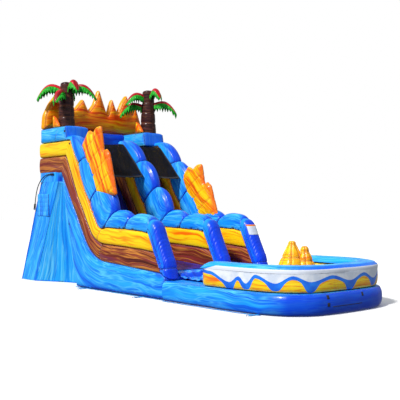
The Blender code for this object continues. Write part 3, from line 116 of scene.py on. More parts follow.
CAP_OVERHANG = 0.26
CAP_LEAN = 0.08
CAP_SEAM_NORMAL = (1.0, -0.15, -0.45)
CAP_SEAM_SETBACK = 0.42
FLAME_DEPTH = 0.28
FLAME_HEIGHT = 1.22
FLAME_SHARES = (
    (-1.00, 0.00),
    (-0.98, 0.30),
    (-0.88, 0.58),
    (-0.76, 0.78),
    (-0.62, 0.46),
    (-0.40, 0.50),
    (-0.24, 0.76),
    (-0.13, 0.48),
    (-0.02, 0.66),
    (0.085, 1.02),
    (0.18, 0.68),
    (0.26, 0.42),
    (0.31, 0.66),
    (0.36, 0.84),
    (0.42, 0.64),
    (0.475, 0.50),
    (0.57, 0.78),
    (0.67, 0.97),
    (0.73, 0.72),
    (0.78, 0.50),
    (0.84, 0.76),
    (0.91, 0.56),
    (0.98, 0.30),
    (1.00, 0.00),
)
CRAG_THICKNESS = 0.17
CRAG_EDGE_DISTANCE = 0.05
CRAG_LENGTH = 1.50
CRAG_LEFT = (1.85, 1.60, 1.68)
CRAG_RIGHT = (2.59, 1.66, 1.42)
CRAG_SHARES = (
    (0.00, 0.76),
    (0.20, 0.97),
    (0.33, 0.91),
    (0.42, 0.99),
    (0.56, 1.00),
    (0.64, 0.62),
    (0.72, 0.66),
    (0.80, 0.60),
    (1.00, 0.00),
    (0.46, 0.00),
)
TRUNK_HEIGHT = 1.25
TRUNK_FOOT_RADIUS = 0.235
TRUNK_HEAD_RADIUS = 0.165
TRUNK_DOME = 0.07
PALM_EDGE_DISTANCE = 0.40
PALM_LEFT_SETBACK = 0.64
PALM_RIGHT_SETBACK = 0.31
FROND_REACH = 0.64
FROND_RIB = 0.055
FROND_SKIRT = 0.22
FROND_SPREAD = 0.16
FROND_WEDGE_SHARE = 0.32
FROND_STEP_ANGLE = math.radians(15)
LEFT_FROND_SHARES = (
    (-9, 0.90, 1.00, 0.16, 0.42),
    (3, 0.90, 1.00, 0.14, 0.42),
    (-4, 0.78, 0.70, 0.10, 0.62),
    (0, 0.94, 0.62, 0.30, 0.34),
    (9, 0.86, 0.55, 0.14, 0.40),
)
RIGHT_FROND_SHARES = (
    (-9, 0.66, 0.98, 0.14, 0.42),
    (3, 0.70, 1.00, 0.12, 0.42),
    (-7, 0.90, 0.80, 0.12, 0.46),
    (0, 0.94, 0.62, 0.30, 0.34),
    (9, 0.84, 0.80, 0.14, 0.40),
)
ROOT_ROCK_LENGTH = 0.34
ROOT_ROCK_DEPTH = 0.12
ROOT_ROCK_HEIGHT = 0.34
ROOT_ROCK_SHARES = ((0.0, 0.0), (1.0, 0.0), (1.0, 1.0), (0.55, 0.72), (0.2, 0.3))
LINER = 0.02
LANE_EDGE_CLEARANCE = 0.012
DECK_LAP = 0.12
CLIMB_BED = 0.05
CLIMB_STEPS = 7
CLIMB_STEP_HEIGHT = 0.09
CLIMB_STEP_LENGTH = 0.15
CANOPY_THICKNESS = 0.012
CANOPY_SPLIT_REACH = 0.16
CANOPY_BREAK_REACH = 0.52
CANOPY_FRONT_REACH = 1.43
CANOPY_DROP = 0.94
FLAP_REACH = 0.80
FLAP_KNEE = 0.05
FLAP_THICKNESS = 0.015
FLAP_FOLDS = ((20, 0.26, 0.045), (75, 0.21, 0.040), (130, 0.15, 0.026), (-30, 0.10, 0.014))
FLAP_STRAPS = (((0.25, 0.10), (0.80, 0.55)), ((0.30, 0.50), (0.85, 0.12)))
POOL_STRAIGHT = 1.60
POOL_ROUND = 2.14
POOL_OVERHANG = 0.08
POOL_BASE_HEIGHT = 0.42
POOL_BASE_ROUNDING = 0.06
POOL_SQUARENESS = 3.5
RING_START = 1.17
RING_FRONT_INSET = 0.08
RING_SIDE_INSET = 0.07
RING_WALL_THICKNESS = 0.38
RING_WALL_HEIGHT = 0.36
RING_BULGE = 0.03
RIM_WIDTH = 0.42
RIM_HEIGHT = 0.15
RIM_END_SHARES = ((0.0, 0.25), (0.14, 0.62), (0.36, 0.86), (0.68, 0.97), (1.0, 1.0))
LINER_SKIN = 0.012
LINER_CLEARANCE = 0.03
CONE_TALL = (0.60, -0.03, 0.87, 0.39, 0.0)
CONE_LOW = (0.79, 0.14, 0.77, 0.32, math.radians(11))
CONE_SIDES = 14
CONE_PROFILE_SHARES = (
    (1.0, 0.0),
    (0.90, 0.22),
    (0.70, 0.46),
    (0.46, 0.70),
    (0.22, 0.90),
    (0.1, 1.0),
)
ANCHOR_EYE_RADIUS = 0.012
ANCHOR_TAB_LENGTH = 0.16
ANCHOR_TAB_WIDTH = 0.06
ANCHOR_RING_BAR = 0.009
ANCHOR_RING_WIDTH = 0.09
ANCHOR_RING_LENGTH = 0.08
ANCHOR_RING_CORNER = 0.010
ANCHOR_RING_SIDES = 14
ANCHOR_TAB_THICKNESS = 0.010
ANCHOR_LEG_DISTANCE = 0.51
ANCHOR_SEAM_DISTANCE = 0.85
ANCHOR_POOL_DISTANCE = 1.15
SLEEVE_REACH = 0.40
SLEEVE_RADIUS = 0.17
SLEEVE_WALL = 0.012
SLEEVE_OFFSET_Y = 0.825
ZIP_FLAP_WIDTH = 0.60
ZIP_FLAP_HEIGHT = 0.60
ZIP_FLAP_THICKNESS = 0.010
ZIP_FLAP_DROP = 0.32
ZIP_FLAP_QUILTS = 5
ZIP_FLAP_QUILT_DEPTH = 0.006
HOSE_DIAMETER = 0.024

# Places that follow from the sizes above
BODY_WIDTH = SLIDE_LANE_WIDTH + CLIMB_LANE_WIDTH + 3 * WALL_THICKNESS
HALF_WIDTH = BODY_WIDTH / 2
INNER_LEFT = -HALF_WIDTH + WALL_THICKNESS
MIDDLE_LEFT = INNER_LEFT + SLIDE_LANE_WIDTH
MIDDLE_RIGHT = MIDDLE_LEFT + WALL_THICKNESS
INNER_RIGHT = HALF_WIDTH - WALL_THICKNESS
BEND_HEIGHT = RUN_FRONT_HEIGHT + (BEND_BACK - RUN_FRONT_BACK) * math.tan(RUN_ANGLE)
SLOPE_TOP_BACK = BEND_BACK + (DECK_HEIGHT - BEND_HEIGHT) / math.tan(SLOPE_ANGLE)
TOWER_REAR_BACK = SLOPE_TOP_BACK + DECK_DEPTH
REAR_FOOT_BACK = TOWER_REAR_BACK + REAR_SPLAY
LEG_FOOT_BACK = SLOPE_TOP_BACK - LEG_LEAN
CAP_FRONT_BACK = SLOPE_TOP_BACK - CAP_OVERHANG
WALL_TOP = DECK_HEIGHT + BROWN_BAND + YELLOW_BAND
CAP_TOP = WALL_TOP + CAP_HEIGHT
POOL_LENGTH = POOL_STRAIGHT + POOL_ROUND
SLEEVE_END_BACK = REAR_FOOT_BACK + SLEEVE_REACH
SEAM_X = (SLEEVE_END_BACK - POOL_LENGTH) / 2
GUARD_FRONT = -TOWER_REAR_BACK + GUARD_DEPTH
SLAB_UNDERSIDE = DECK_HEIGHT - DECK_SLAB
POOL_HALF = HALF_WIDTH + POOL_OVERHANG
RING_TOP = POOL_BASE_HEIGHT + RING_WALL_HEIGHT
RING_HALF_LENGTH = POOL_ROUND - RING_FRONT_INSET
RING_HALF_WIDTH = POOL_HALF - RING_SIDE_INSET

# Route of the free hose from its sleeve to the valve, as in the construction
HOSE_POINTS = (
    (-4.8803, -1.6723, 2.900),
    (-4.960, -1.6735, 2.899),
    (-5.060, -1.677, 2.888),
    (-5.160, -1.680, 2.862),
    (-5.260, -1.684, 2.816),
    (-5.360, -1.688, 2.750),
    (-5.450, -1.690, 2.664),
    (-5.530, -1.690, 2.560),
    (-5.594, -1.688, 2.440),
    (-5.640, -1.684, 2.320),
    (-5.672, -1.681, 2.210),
    (-5.692, -1.680, 2.120),
)

# Marks on the skins: the bare label, drain openings (across, up, width, height) and tie patches
LABEL_X = -0.10
LABEL_Z = 1.34
LABEL_HEIGHT = 0.25
LABEL_INSET = 0.05
DRAINS = (
    (-0.75, 0.31, 0.06, 0.07),
    (-0.75, 0.17, 0.06, 0.07),
    (0.26, 0.30, 0.05, 0.07),
    (-0.62, 0.155, 0.88, 0.012),
)
TIES = (
    ("platform_skin", -4.43, 2.80),
    ("slide_body_skin", -3.98, 1.57),
    ("cap_left_skin", -4.24, 3.98),
    ("wall_left_yellow_skin", -3.99, 3.64),
)
TIE_SIZE = 0.035

# Camera of the photograph
CAMERA_PLACE = (13.81, -11.344, 2.0)
CAMERA_AZIMUTH = math.radians(48.7)
CAMERA_PITCH = math.radians(0.637)
CAMERA_LENS = 64.8
KEY_DIRECTION = (0.10, -0.72, 0.69)
KEY_STRENGTH = 3.7

# Detail of the skins
STEP = 0.034
PUCKER_SPACING = 0.085
PUCKER_DEPTH = 0.011
PUCKER_REACH = 0.085
SEAM_SINK = 0.012
SEAM_WIDTH = 0.022
NOISE_TABLE = 1024
SEED_SHIFT = 0.37

# Form of single pieces
RIM_SEED = 81
RIM_WHITE = 0.08
FOOT_FADE = 0.47
FOOT_SLANT = 0.25
# How far the brown chamber is sewn down into the one below it
BROWN_SINK = 0.035
# Where the second printed panel of each wall starts, as a share of its length
PANEL_SHARES = {"left": 0.62, "middle": 0.55, "right": 0.66}
HUMP_ROWS = 32
CREST_COLUMN = 19
TUBE_END_LIFT = 0.055
TUBE_COLUMNS = 30
CREASE_NARROWING = 0.035
POST_RIB = 0.030
POST_RIB_SPACING = 0.10
QUILT_SPACING = 0.36
TRUNK_BANDS = 4
FROND_ROWS = 66
FROND_TEETH = 9
FROND_SIDES = 20
FROND_TOOTH = 0.12
FROND_FALL = 3.0
FLAP_STEP = 0.02
PLAN_STEPS = 150
# Drip pattern round the pool's wall: share of the wall's outer length, and how far down the
# white and the blue reach there as shares of the wall's height
DRIP_SHARES = (
    (0.000, 0.04, 0.20),
    (0.035, 0.10, 0.24),
    (0.116, 0.61, 1.04),
    (0.150, 0.26, 0.44),
    (0.175, 0.60, 0.92),
    (0.206, 0.10, 0.27),
    (0.264, 0.50, 0.90),
    (0.310, 0.10, 0.27),
    (0.357, 0.41, 0.97),
    (0.426, 0.12, 0.32),
    (0.500, 0.46, 1.02),
    (0.560, 0.12, 0.30),
    (0.612, 0.48, 0.91),
    (0.660, 0.12, 0.30),
    (0.720, 0.50, 0.96),
    (0.770, 0.12, 0.32),
    (0.820, 0.46, 0.94),
    (0.860, 0.14, 0.34),
    (0.905, 0.55, 0.98),
    (0.965, 0.10, 0.24),
    (1.000, 0.04, 0.20),
)
RING_LEG_STEPS = 14
DRIP_STEPS = 320
DRIP_BAND = 0.19
DRIP_HALF_WIDTH = 0.019
WALL_END_NARROWING = 0.45
CONE_ROWS = 50
CONE_COLUMNS = 126
CONE_LOBE = 0.12
CONE_RISE = 1.045
HEM_WIDTH = 0.035
HEM_STEPS = 78
PANEL_SHIFT = 2.31
CAP_LAST_SHARE = 0.06
BAND_ROWS = 12
POST_LEVEL_SHARES = (0.2, 0.45, 0.72, 0.9)
POST_FOLD_SHARE = 0.86
TUBE_STEPS = 14
COLUMN_STEPS = 24
CURTAIN_ROWS = 72
CURTAIN_COLUMNS = 84
PLATFORM_COLUMNS = 40
PLATFORM_LEVELS = 8
QUILT_SLANTS = (math.radians(52), math.radians(-34))
TRUNK_STRAIGHT = TRUNK_HEIGHT - TRUNK_DOME
TRUNK_ROWS = 48
TRUNK_DRAW = 0.975
TRUNK_SIDES = 44
FROND_ROOT = 0.02
LANE_COLUMNS = 30
SLIDE_EDGES = (INNER_LEFT + LANE_EDGE_CLEARANCE, MIDDLE_LEFT - LANE_EDGE_CLEARANCE)
CLIMB_EDGES = (MIDDLE_RIGHT + LANE_EDGE_CLEARANCE, INNER_RIGHT - LANE_EDGE_CLEARANCE)
CLIMB_ROWS = 220
CLIMB_COLUMNS = 24
FLAP_STRAP_STEPS = 40
POOL_BASE_ROWS = 16
EDGE_POWER = 2.6
POOL_LEG_STEPS = 46
POOL_BACK_STEPS = 90
POOL_FILL_STEP = 0.07
POOL_WALL_ROWS = 16
RIM_STEPS = 22
RIM_POWER = 0.8
CONE_TIP = 0.03
CONE_LEVELS = (10, 20, 30)
CONES = (("pool_rock_skin", CONE_TALL, 0.10, 91), ("second", CONE_LOW, 0.16, 95))
LABEL_STRIP_SHARE = 0.16
ZIP_FLAP_ROWS = 50
ZIP_FLAP_COLUMNS = 40
SLEEVE_ROWS = 26
SLEEVE_COLUMNS = 72
HOSE_STEPS = 40

# Ripples of a curtain: weight, waves across, slant and shift
CURTAIN_RIPPLES = ((1.0, 13, 2, 1), (0.6, 23, 5, 2))

# Rows and columns of the canopy's net that a binding covers
CANOPY_BINDINGS = {
    "front": (slice(-4, None), slice(None)),
    "near": (slice(None), slice(0, 2)),
    "far": (slice(None), slice(-2, None)),
}

# Noise, puckers and welds of the skins
NOISE_SIDE = 64
PUCKER_NOISE_STEPS = (3, 2.1, 1.3)
PUCKER_WANDER = 0.9
PUCKER_CHANGE = 0.45
PUCKER_STRETCH = 0.55
PUCKER_SHARPNESS = 1.6
NO_SEAM = 0.5
FAR = 9.0
WELD_DISTANCE = 2e-5
SMOOTH_ANGLE = math.radians(55)
DENT_STEPS = (0.42, 0.21)
BLOCK = 2000
EDGE_DRAW = 0.30
CROWN_REACH = 0.3

# Stitching, net and floor
CREASE_WIDTH = 0.020
STITCH_ROWS = (0.011, 0.019)
STITCH_LENGTH = 0.011
STITCH_SHARE = 0.62
THREAD_WIDTH = 0.0022
THREAD_COLOUR = (0.65, 0.72, 0.80)
NET_SPACING = 0.006
NET_THREAD_SHARE = 0.41
FLOOR_HALF = 90.0

# Ways that a surface can face, for painted light and shade: axis, sign, and where the painted tint
# starts and is full
FRONT = ("X", 1.0, 0.05, 0.65)
NEAR_SIDE = ("Y", -1.0, 0.25, 0.85)
TOP = ("Z", 1.0, 0.60, 0.95)
UNDER = ("Z", -1.0, 0.10, 0.80)

# Deep blue of painted shade on front and under faces, then printed colours with the place of each
# in the marble's noise
PAINTED_SHADE_BLUE = (0.001, 0.032, 0.66)
AZURE_VEIN = (0.16, 0.66, 1.0)
VEIN_SHIFTS = ((3.1, 1.7, 0.0), (8.8, 4.0, 0.0))
BANDS = {
    "blue": (
        (0.32, (0.004, 0.13, 0.80)),
        (0.44, (0.007, 0.22, 0.92)),
        (0.54, (0.010, 0.30, 0.98)),
        (0.68, (0.020, 0.40, 1.00)),
    ),
    "post": (
        (0.32, (0.003, 0.07, 0.72)),
        (0.50, (0.005, 0.13, 0.90)),
        (0.68, (0.010, 0.20, 0.98)),
    ),
    "azure": (
        (0.32, (0.006, 0.24, 0.90)),
        (0.48, (0.012, 0.36, 0.98)),
        (0.68, (0.040, 0.50, 1.00)),
    ),
    "royal": (
        (0.32, (0.002, 0.040, 0.62)),
        (0.50, (0.003, 0.070, 0.85)),
        (0.68, (0.006, 0.120, 0.98)),
    ),
    "brown": (
        (0.32, (0.075, 0.010, 0.009)),
        (0.45, (0.16, 0.022, 0.015)),
        (0.55, (0.24, 0.034, 0.024)),
        (0.66, (0.17, 0.030, 0.065)),
    ),
    "orange": (
        (0.34, (0.74, 0.055, 0.002)),
        (0.44, (0.96, 0.17, 0.002)),
        (0.54, (1.00, 0.28, 0.003)),
        (0.66, (1.00, 0.46, 0.006)),
    ),
    "rock": (
        (0.32, (0.82, 0.09, 0.003)),
        (0.42, (0.98, 0.26, 0.004)),
        (0.50, (1.00, 0.52, 0.006)),
        (0.64, (1.00, 0.68, 0.012)),
    ),
    "bark": (
        (0.34, (0.014, 0.004, 0.008)),
        (0.50, (0.040, 0.011, 0.014)),
        (0.66, (0.085, 0.026, 0.026)),
    ),
    "bed": (
        (0.34, (0.008, 0.014, 0.16)),
        (0.52, (0.018, 0.020, 0.30)),
        (0.66, (0.040, 0.034, 0.44)),
    ),
    "crimson": (
        (0.34, (0.20, 0.001, 0.004)),
        (0.50, (0.42, 0.002, 0.012)),
        (0.66, (0.62, 0.010, 0.025)),
    ),
    "green": (
        (0.34, (0.002, 0.14, 0.006)),
        (0.50, (0.004, 0.30, 0.012)),
        (0.66, (0.012, 0.55, 0.025)),
    ),
    "yellow": (
        (0.27, (0.95, 0.16, 0.003)),
        (0.36, (1.00, 0.40, 0.004)),
        (0.43, (1.00, 0.64, 0.006)),
        (0.62, (1.00, 0.72, 0.012)),
    ),
}

# Slot of the part that each finish stands for
SLOTS = {
    "blue": "blue_vinyl",
    "azure": "azure_vinyl",
    "rim": "azure_vinyl",
    "royal": "royal_blue_vinyl",
    "post": "royal_blue_vinyl",
    "orange": "orange_vinyl",
    "rock": "yellow_vinyl",
    "yellow": "yellow_vinyl",
    "brown": "brown_vinyl",
    "bark": "bark_vinyl",
    "crimson": "leaf_vinyl",
    "drip": "drip_vinyl",
}

# Fittings of the hose and the finish of each
HOSE_FITTINGS = {"hose_valve": "rubber", "hose_collar": "steel", "hose_sleeve": "rubber"}


# Lines, noise and skins


def eased(part):
    """Share that leaves 0 and reaches 1 slowly."""
    return part * part * (3 - 2 * part)


def between(start, end, share):
    """Place at a share of the way from start to end."""
    return start + (end - start) * share


def unit(vector):
    """The same direction, 1 long."""
    return vector / np.linalg.norm(vector)


def curve_point(points, index, share):
    """Place on a smooth curve through points, at a share of the way past one of them."""
    first = points[max(index - 1, 0)]
    start = points[index]
    end = points[index + 1]
    last = points[min(index + 2, len(points) - 1)]
    return 0.5 * (
        2 * start
        + (end - first) * share
        + (2 * first - 5 * start + 4 * end - last) * share * share
        + (3 * start - first - 3 * end + last) * share ** 3
    )


def smooth_rings(rings, count):
    """Rings on a smooth curve through the given ones, with count steps from each to the next."""
    rings = np.array(rings)
    starts = range(len(rings) - 1)
    made = [curve_point(rings, index, step / count) for index in starts for step in range(count)]
    return made + [rings[-1]]


def smooth_points(points, rounds=6):
    """Line whose corners are drawn round. Its ends stay."""
    line = np.array(points, float)
    for _ in range(rounds):
        line[1:-1] = 0.5 * line[1:-1] + 0.25 * (line[:-2] + line[2:])
    return line


def line_lengths(points):
    """Length along a line at each of its points."""
    lengths = [0.0]
    for before, after in zip(points, points[1:]):
        lengths.append(lengths[-1] + float(np.linalg.norm(after - before)))
    return lengths


def soft_line(points, step=0.02, rounds=60):
    """Side-view line in short steps, with its corners drawn round."""
    corners = np.array(points, float)
    lengths = np.array(line_lengths(corners))
    marks = np.linspace(0, lengths[-1], max(3, int(lengths[-1] / step)))
    line = np.stack([np.interp(marks, lengths, corners[:, axis]) for axis in (0, 1)], 1)
    return smooth_points(line, rounds)


def noise_cells(places, step, size):
    """Entries of a table of noise before and after each place, and the eased share between them."""
    scaled = np.asarray(places, float) / step
    cell = np.floor(scaled).astype(int)
    return cell % size, (cell + 1) % size, eased(scaled - cell)


def noise_line(places, step, seed):
    """Smooth noise from -1 to 1 along a line."""
    table = np.random.default_rng(seed).uniform(-1, 1, NOISE_TABLE)
    before, after, part = noise_cells(places, step, NOISE_TABLE)
    return table[before] * (1 - part) + table[after] * part


def noise_plane(u, v, step_u, step_v, seed):
    """Smooth noise from -1 to 1 over a surface."""
    table = np.random.default_rng(seed).uniform(-1, 1, (NOISE_SIDE, NOISE_SIDE))
    before_u, after_u, part_u = noise_cells(u, step_u, NOISE_SIDE)
    before_v, after_v, part_v = noise_cells(v, step_v, NOISE_SIDE)
    low, high = (
        table[row, before_v] * (1 - part_v) + table[row, after_v] * part_v
        for row in (before_u, after_u)
    )
    return low * (1 - part_u) + high * part_u


def pucker(place, distance, seed, depth=PUCKER_DEPTH, spacing=PUCKER_SPACING, reach=PUCKER_REACH):
    """How far the skin is drawn in near a seam: short folds that run away from it."""
    wander, change, stretch = (
        noise_line(place, spacing * step, seed + number)
        for number, step in enumerate(PUCKER_NOISE_STEPS)
    )
    fold = 1 - np.abs(np.sin(math.pi * (place / spacing + PUCKER_WANDER * wander)))
    strength = 1 - PUCKER_CHANGE + PUCKER_CHANGE * change
    reach = reach * (1 + PUCKER_STRETCH * stretch)
    sink = SEAM_SINK * np.exp(-((distance / SEAM_WIDTH) ** 2))
    return depth * strength * fold ** PUCKER_SHARPNESS * np.exp(-distance / reach) + sink


def mesh_normals(points, closed):
    """Unit normals of a grid of points, turned away from the middle of each ring."""
    if closed:
        course = np.roll(points, -1, 1) - np.roll(points, 1, 1)
    else:
        course = np.gradient(points, axis=1)
    normal = np.cross(np.gradient(points, axis=0), course)
    normal = normal / np.maximum(np.linalg.norm(normal, axis=2, keepdims=True), 1e-9)
    outward = points - points.mean(axis=1, keepdims=True)
    if closed and (normal * outward).sum() < 0:
        normal = -normal
    return normal


def running_length(points, axis, closed=False):
    """Distance along one axis of a grid of points, with one more column where it is closed."""
    if closed:
        points = closed_grid(points)
    steps = np.linalg.norm(np.diff(points, axis=axis), axis=2)
    zero_shape = list(steps.shape)
    zero_shape[axis] = 1
    return np.concatenate([np.zeros(zero_shape), np.cumsum(steps, axis=axis)], axis=axis)


def closed_grid(grid):
    """The grid with its first column once more at its end."""
    return np.concatenate([grid, grid[:, :1]], axis=1)


def loop_lengths(ring):
    """Length along a closed line at each of its points, and its whole length last."""
    steps = np.linalg.norm(np.roll(ring, -1, 0) - ring, axis=1)
    return np.concatenate([[0], np.cumsum(steps)])


def flat_size(width, length):
    """Flat size of a sheet, to the centimetre."""
    return (round(float(width), 2), round(float(length), 2))


class Skin:
    """Collects parts of one surface, each with its two maps, and welds them to one mesh."""

    def __init__(self):
        """Starts with no parts."""
        self.points = []
        self.faces = []
        self.flow = []
        self.seam = []
        self.count = 0

    def add(self, points, faces, flow, seam):
        """Adds a part. faces, flow and seam are lists with one entry for each face."""
        self.points.append(np.asarray(points, float).reshape(-1, 3))
        for face in faces:
            self.faces.append(tuple(int(index) + self.count for index in face))
        self.flow.extend(flow)
        self.seam.extend(seam)
        self.count += len(self.points[-1])

    def grid(self, points, flow_u, flow_v, seam_d, seam_s, closed=False):
        """Rows of points joined by quads. The maps have one more column where it is closed."""
        rows, columns = points.shape[:2]
        wide = columns if closed else columns - 1
        i, j = np.meshgrid(np.arange(rows - 1), np.arange(wide), indexing="ij")
        i = i.ravel()
        j = j.ravel()
        after = (j + 1) % columns
        near = i * columns
        far = (i + 1) * columns
        quads = np.stack([near + j, near + after, far + after, far + j], 1)
        corners = (np.stack([i, i, i + 1, i + 1], 1), np.stack([j, j + 1, j + 1, j], 1))
        flow = np.stack([flow_u[corners], flow_v[corners]], 2)
        seam = np.stack([seam_d[corners], seam_s[corners]], 2)
        self.add(points, quads, list(flow), list(seam))

    def plain_grid(self, points, turned=False, shift=0.0, edges=False, closed=False):
        """Grid with the print along it, or round it if turned. edges makes its sides seams."""
        along = running_length(points, 0)
        around = running_length(points, 1, closed)
        if closed:
            along = closed_grid(along)
        seam = np.full(along.shape, NO_SEAM)
        if edges:
            seam = np.minimum(around, around[:, -1:] - around)
        u, v = (around, along) if turned else (along, around)
        self.grid(points, u, v + shift, seam, along, closed)

    def plain_faces(self, points, faces):
        """Level faces with the print laid on them from above and no seam near."""
        flow = [[tuple(points[index][:2]) for index in face] for face in faces]
        self.add(points, faces, flow, [[(NO_SEAM, 0.0)] * 3] * len(faces))

    def object(self, name, finish, thickness=0.0):
        """The welded mesh as an object in the row's frame."""
        work = bmesh.new()
        corners = [work.verts.new(point) for point in np.concatenate(self.points)]
        flow_map = work.loops.layers.uv.new("Flow")
        seam_map = work.loops.layers.uv.new("Seam")
        for face, flow, seam in zip(self.faces, self.flow, self.seam):
            new = work.faces.new([corners[index] for index in face])
            for loop, flow_place, seam_place in zip(new.loops, flow, seam):
                loop[flow_map].uv = flow_place
                loop[seam_map].uv = seam_place
        bmesh.ops.remove_doubles(work, verts=work.verts, dist=WELD_DISTANCE)
        bmesh.ops.recalc_face_normals(work, faces=work.faces)
        mesh = bpy.data.meshes.new(name)
        work.to_mesh(mesh)
        work.free()
        mesh.transform(Matrix.Translation((SEAM_X, 0.0, 0.0)))
        mesh.materials.append(finish)
        mesh.shade_smooth()
        mesh.set_sharp_from_angle(angle=SMOOTH_ANGLE)
        made = bpy.data.objects.new(name, mesh)
        bpy.context.scene.collection.objects.link(made)
        if thickness:
            thicken(made, thickness)
        return made


def thicken(made, thickness):
    """Gives a sheet its thickness, half of it on each side."""
    solid = made.modifiers.new("cloth", "SOLIDIFY")
    solid.thickness = thickness
    solid.offset = 0.0


def seam_reaches(along, around, closed, seam_rows, seam_columns):
    """For each seam of a grid: a number for its folds, and how far off and along it points lie."""
    for row in seam_rows:
        yield 11 + row % 7, np.abs(along - along[row][None, :]), around
    for column in seam_columns:
        reach = np.abs(around - around[:, column][:, None])
        if closed:
            reach = np.minimum(reach, around[:, -1:] - reach)
        yield 31 + column % 7, reach, along


def seam_fields(points, closed, seam_rows, seam_columns):
    """Lengths along and round a grid, the distance to the nearest seam and the place along it."""
    along = running_length(points, 0)
    if closed:
        along = closed_grid(along)
    around = running_length(points, 1, closed)
    distance = np.full(around.shape, FAR)
    place = np.zeros(around.shape)
    for _, reach, seam_place in seam_reaches(along, around, closed, seam_rows, seam_columns):
        nearer = reach < distance
        distance = np.where(nearer, reach, distance)
        place = np.where(nearer, seam_place, place)
    return along, around, distance, place


def inflate(points, closed, seam_rows, seam_columns, seed, depth, dent, spacing=PUCKER_SPACING,
            reach=PUCKER_REACH):
    """Draws a grid of points in at its seams and gives it soft dents."""
    along, around, distance, place = seam_fields(points, closed, seam_rows, seam_columns)
    inward = np.zeros(around.shape)
    for number, away, seam_place in seam_reaches(along, around, closed, seam_rows, seam_columns):
        inward += pucker(seam_place, away, seed + number, depth, spacing, reach)
    inward += dent * noise_plane(along, around, *DENT_STEPS, seed)
    inward = inward[:, : points.shape[1], None]
    return points - mesh_normals(points, closed) * inward, (along, around, distance, place)


def loft_skin(skin, points, seam_rows, seam_columns, seed, depth=PUCKER_DEPTH, turn=False,
              swell=(0.04, 0.04), dent=0.004, panels_and_painted_light=(), seat_column=None,
              spacing=PUCKER_SPACING, reach=PUCKER_REACH):
    """Closed rings as one inflated skin, with swollen ends. The print starts anew at each panel.

    turn prints it around the rings, and a seat column keeps it level above that column.
    """
    shaped, fields = inflate(points, True, seam_rows, seam_columns, seed, depth, dent, spacing,
                             reach)
    along, around, distance, place = fields
    u, v = (around, along) if turn else (along, around)
    if seat_column is not None:
        u = np.tile(along.mean(axis=1)[:, None], (1, along.shape[1]))
        v = around[:, [seat_column]] - around
    marks = [0, *panels_and_painted_light, len(points) - 1]
    for number, (first, last) in enumerate(zip(marks, marks[1:])):
        rows = slice(first, last + 1)
        shift = seed * SEED_SHIFT + number * PANEL_SHIFT
        skin.grid(shaped[rows], u[rows], v[rows] + shift, distance[rows], place[rows], closed=True)
    cap_ends(skin, shaped, seed, swell)


def cap_ends(skin, rings, seed, swell):
    """Closes the first and the last ring, each with its own swell."""
    cap_ring(skin, rings[0], rings[1], seed, swell[0])
    cap_ring(skin, rings[-1], rings[-2], seed - 1, swell[1])


def cap_ring(skin, ring, neighbour, seed, bulge):
    """Swollen end over a ring: shrinking copies of it and a last point."""
    middle = ring.mean(axis=0)
    outward = unit(middle - neighbour.mean(axis=0))
    spokes = np.linalg.norm(ring - middle, axis=1)
    count = max(4, int(spokes.mean() / STEP))
    shares = np.linspace(1, CAP_LAST_SHARE, count)
    around = loop_lengths(ring)
    rows = [ring]
    for share in shares[1:]:
        drawn = pucker(around[:-1], spokes * (1 - share), seed + 5) * min(1.0, bulge / 0.02)
        swell = bulge * math.sqrt(1 - share * share)
        rows.append(middle + (ring - middle) * share + outward * (swell - drawn)[:, None])
    points = np.array(rows)
    helper = np.array([0.0, 0.0, 1.0] if abs(outward[2]) < 0.9 else [1.0, 0.0, 0.0])
    side = unit(np.cross(outward, helper))
    wrapped = closed_grid(points) - middle
    flat_u = wrapped @ side + seed
    flat_v = wrapped @ np.cross(side, outward)
    reach = np.concatenate([spokes, spokes[:1]])[None, :] * (1 - shares)[:, None]
    skin.grid(points, flat_u, flat_v, reach, np.tile(around, (count, 1)), closed=True)
    last = points[-1]
    faces = [(index, (index + 1) % len(last), len(last)) for index in range(len(last))]
    flow = [[(flat_u[-1, index], flat_v[-1, index])] * 3 for index in range(len(last))]
    tip = middle + outward * bulge
    skin.add(np.concatenate([last, [tip]]), faces, flow, [[(NO_SEAM, 0.0)] * 3] * len(faces))


def fill_rings(rings, step=STEP):
    """Adds rings between rings that are further apart than a step."""
    made = []
    for here, after in zip(rings, rings[1:]):
        reach = np.linalg.norm(after - here, axis=1).max()
        count = max(1, int(math.ceil(reach / step)))
        made += [here + (after - here) * index / count for index in range(count)]
    return np.array(made + [rings[-1]])


def dense_outline(outline, step, smoothing):
    """Closed outline in short steps with soft corners, anticlockwise."""
    outline = np.array(outline, float)
    after = np.roll(outline, -1, 0)
    if (outline[:, 0] * after[:, 1] - after[:, 0] * outline[:, 1]).sum() < 0:
        outline = outline[::-1]
    points = []
    for here, after in zip(outline, np.roll(outline, -1, 0)):
        count = max(1, int(round(np.linalg.norm(after - here) / step)))
        points += [here + (after - here) * index / count for index in range(count)]
    points = np.array(points)
    for _ in range(smoothing):
        points = 0.5 * points + 0.25 * (np.roll(points, 1, 0) + np.roll(points, -1, 0))
    return points


def outline_normals(outline):
    """Directions square to a closed outline, at each of its points."""
    course = np.roll(outline, -1, 0) - np.roll(outline, 1, 0)
    course /= np.maximum(np.linalg.norm(course, axis=1, keepdims=True), 1e-9)
    return np.stack([-course[:, 1], course[:, 0]], 1)


def blocks(count):
    """Slices that take up a long list a block at a time, to save memory."""
    return [slice(first, first + BLOCK) for first in range(0, count, BLOCK)]


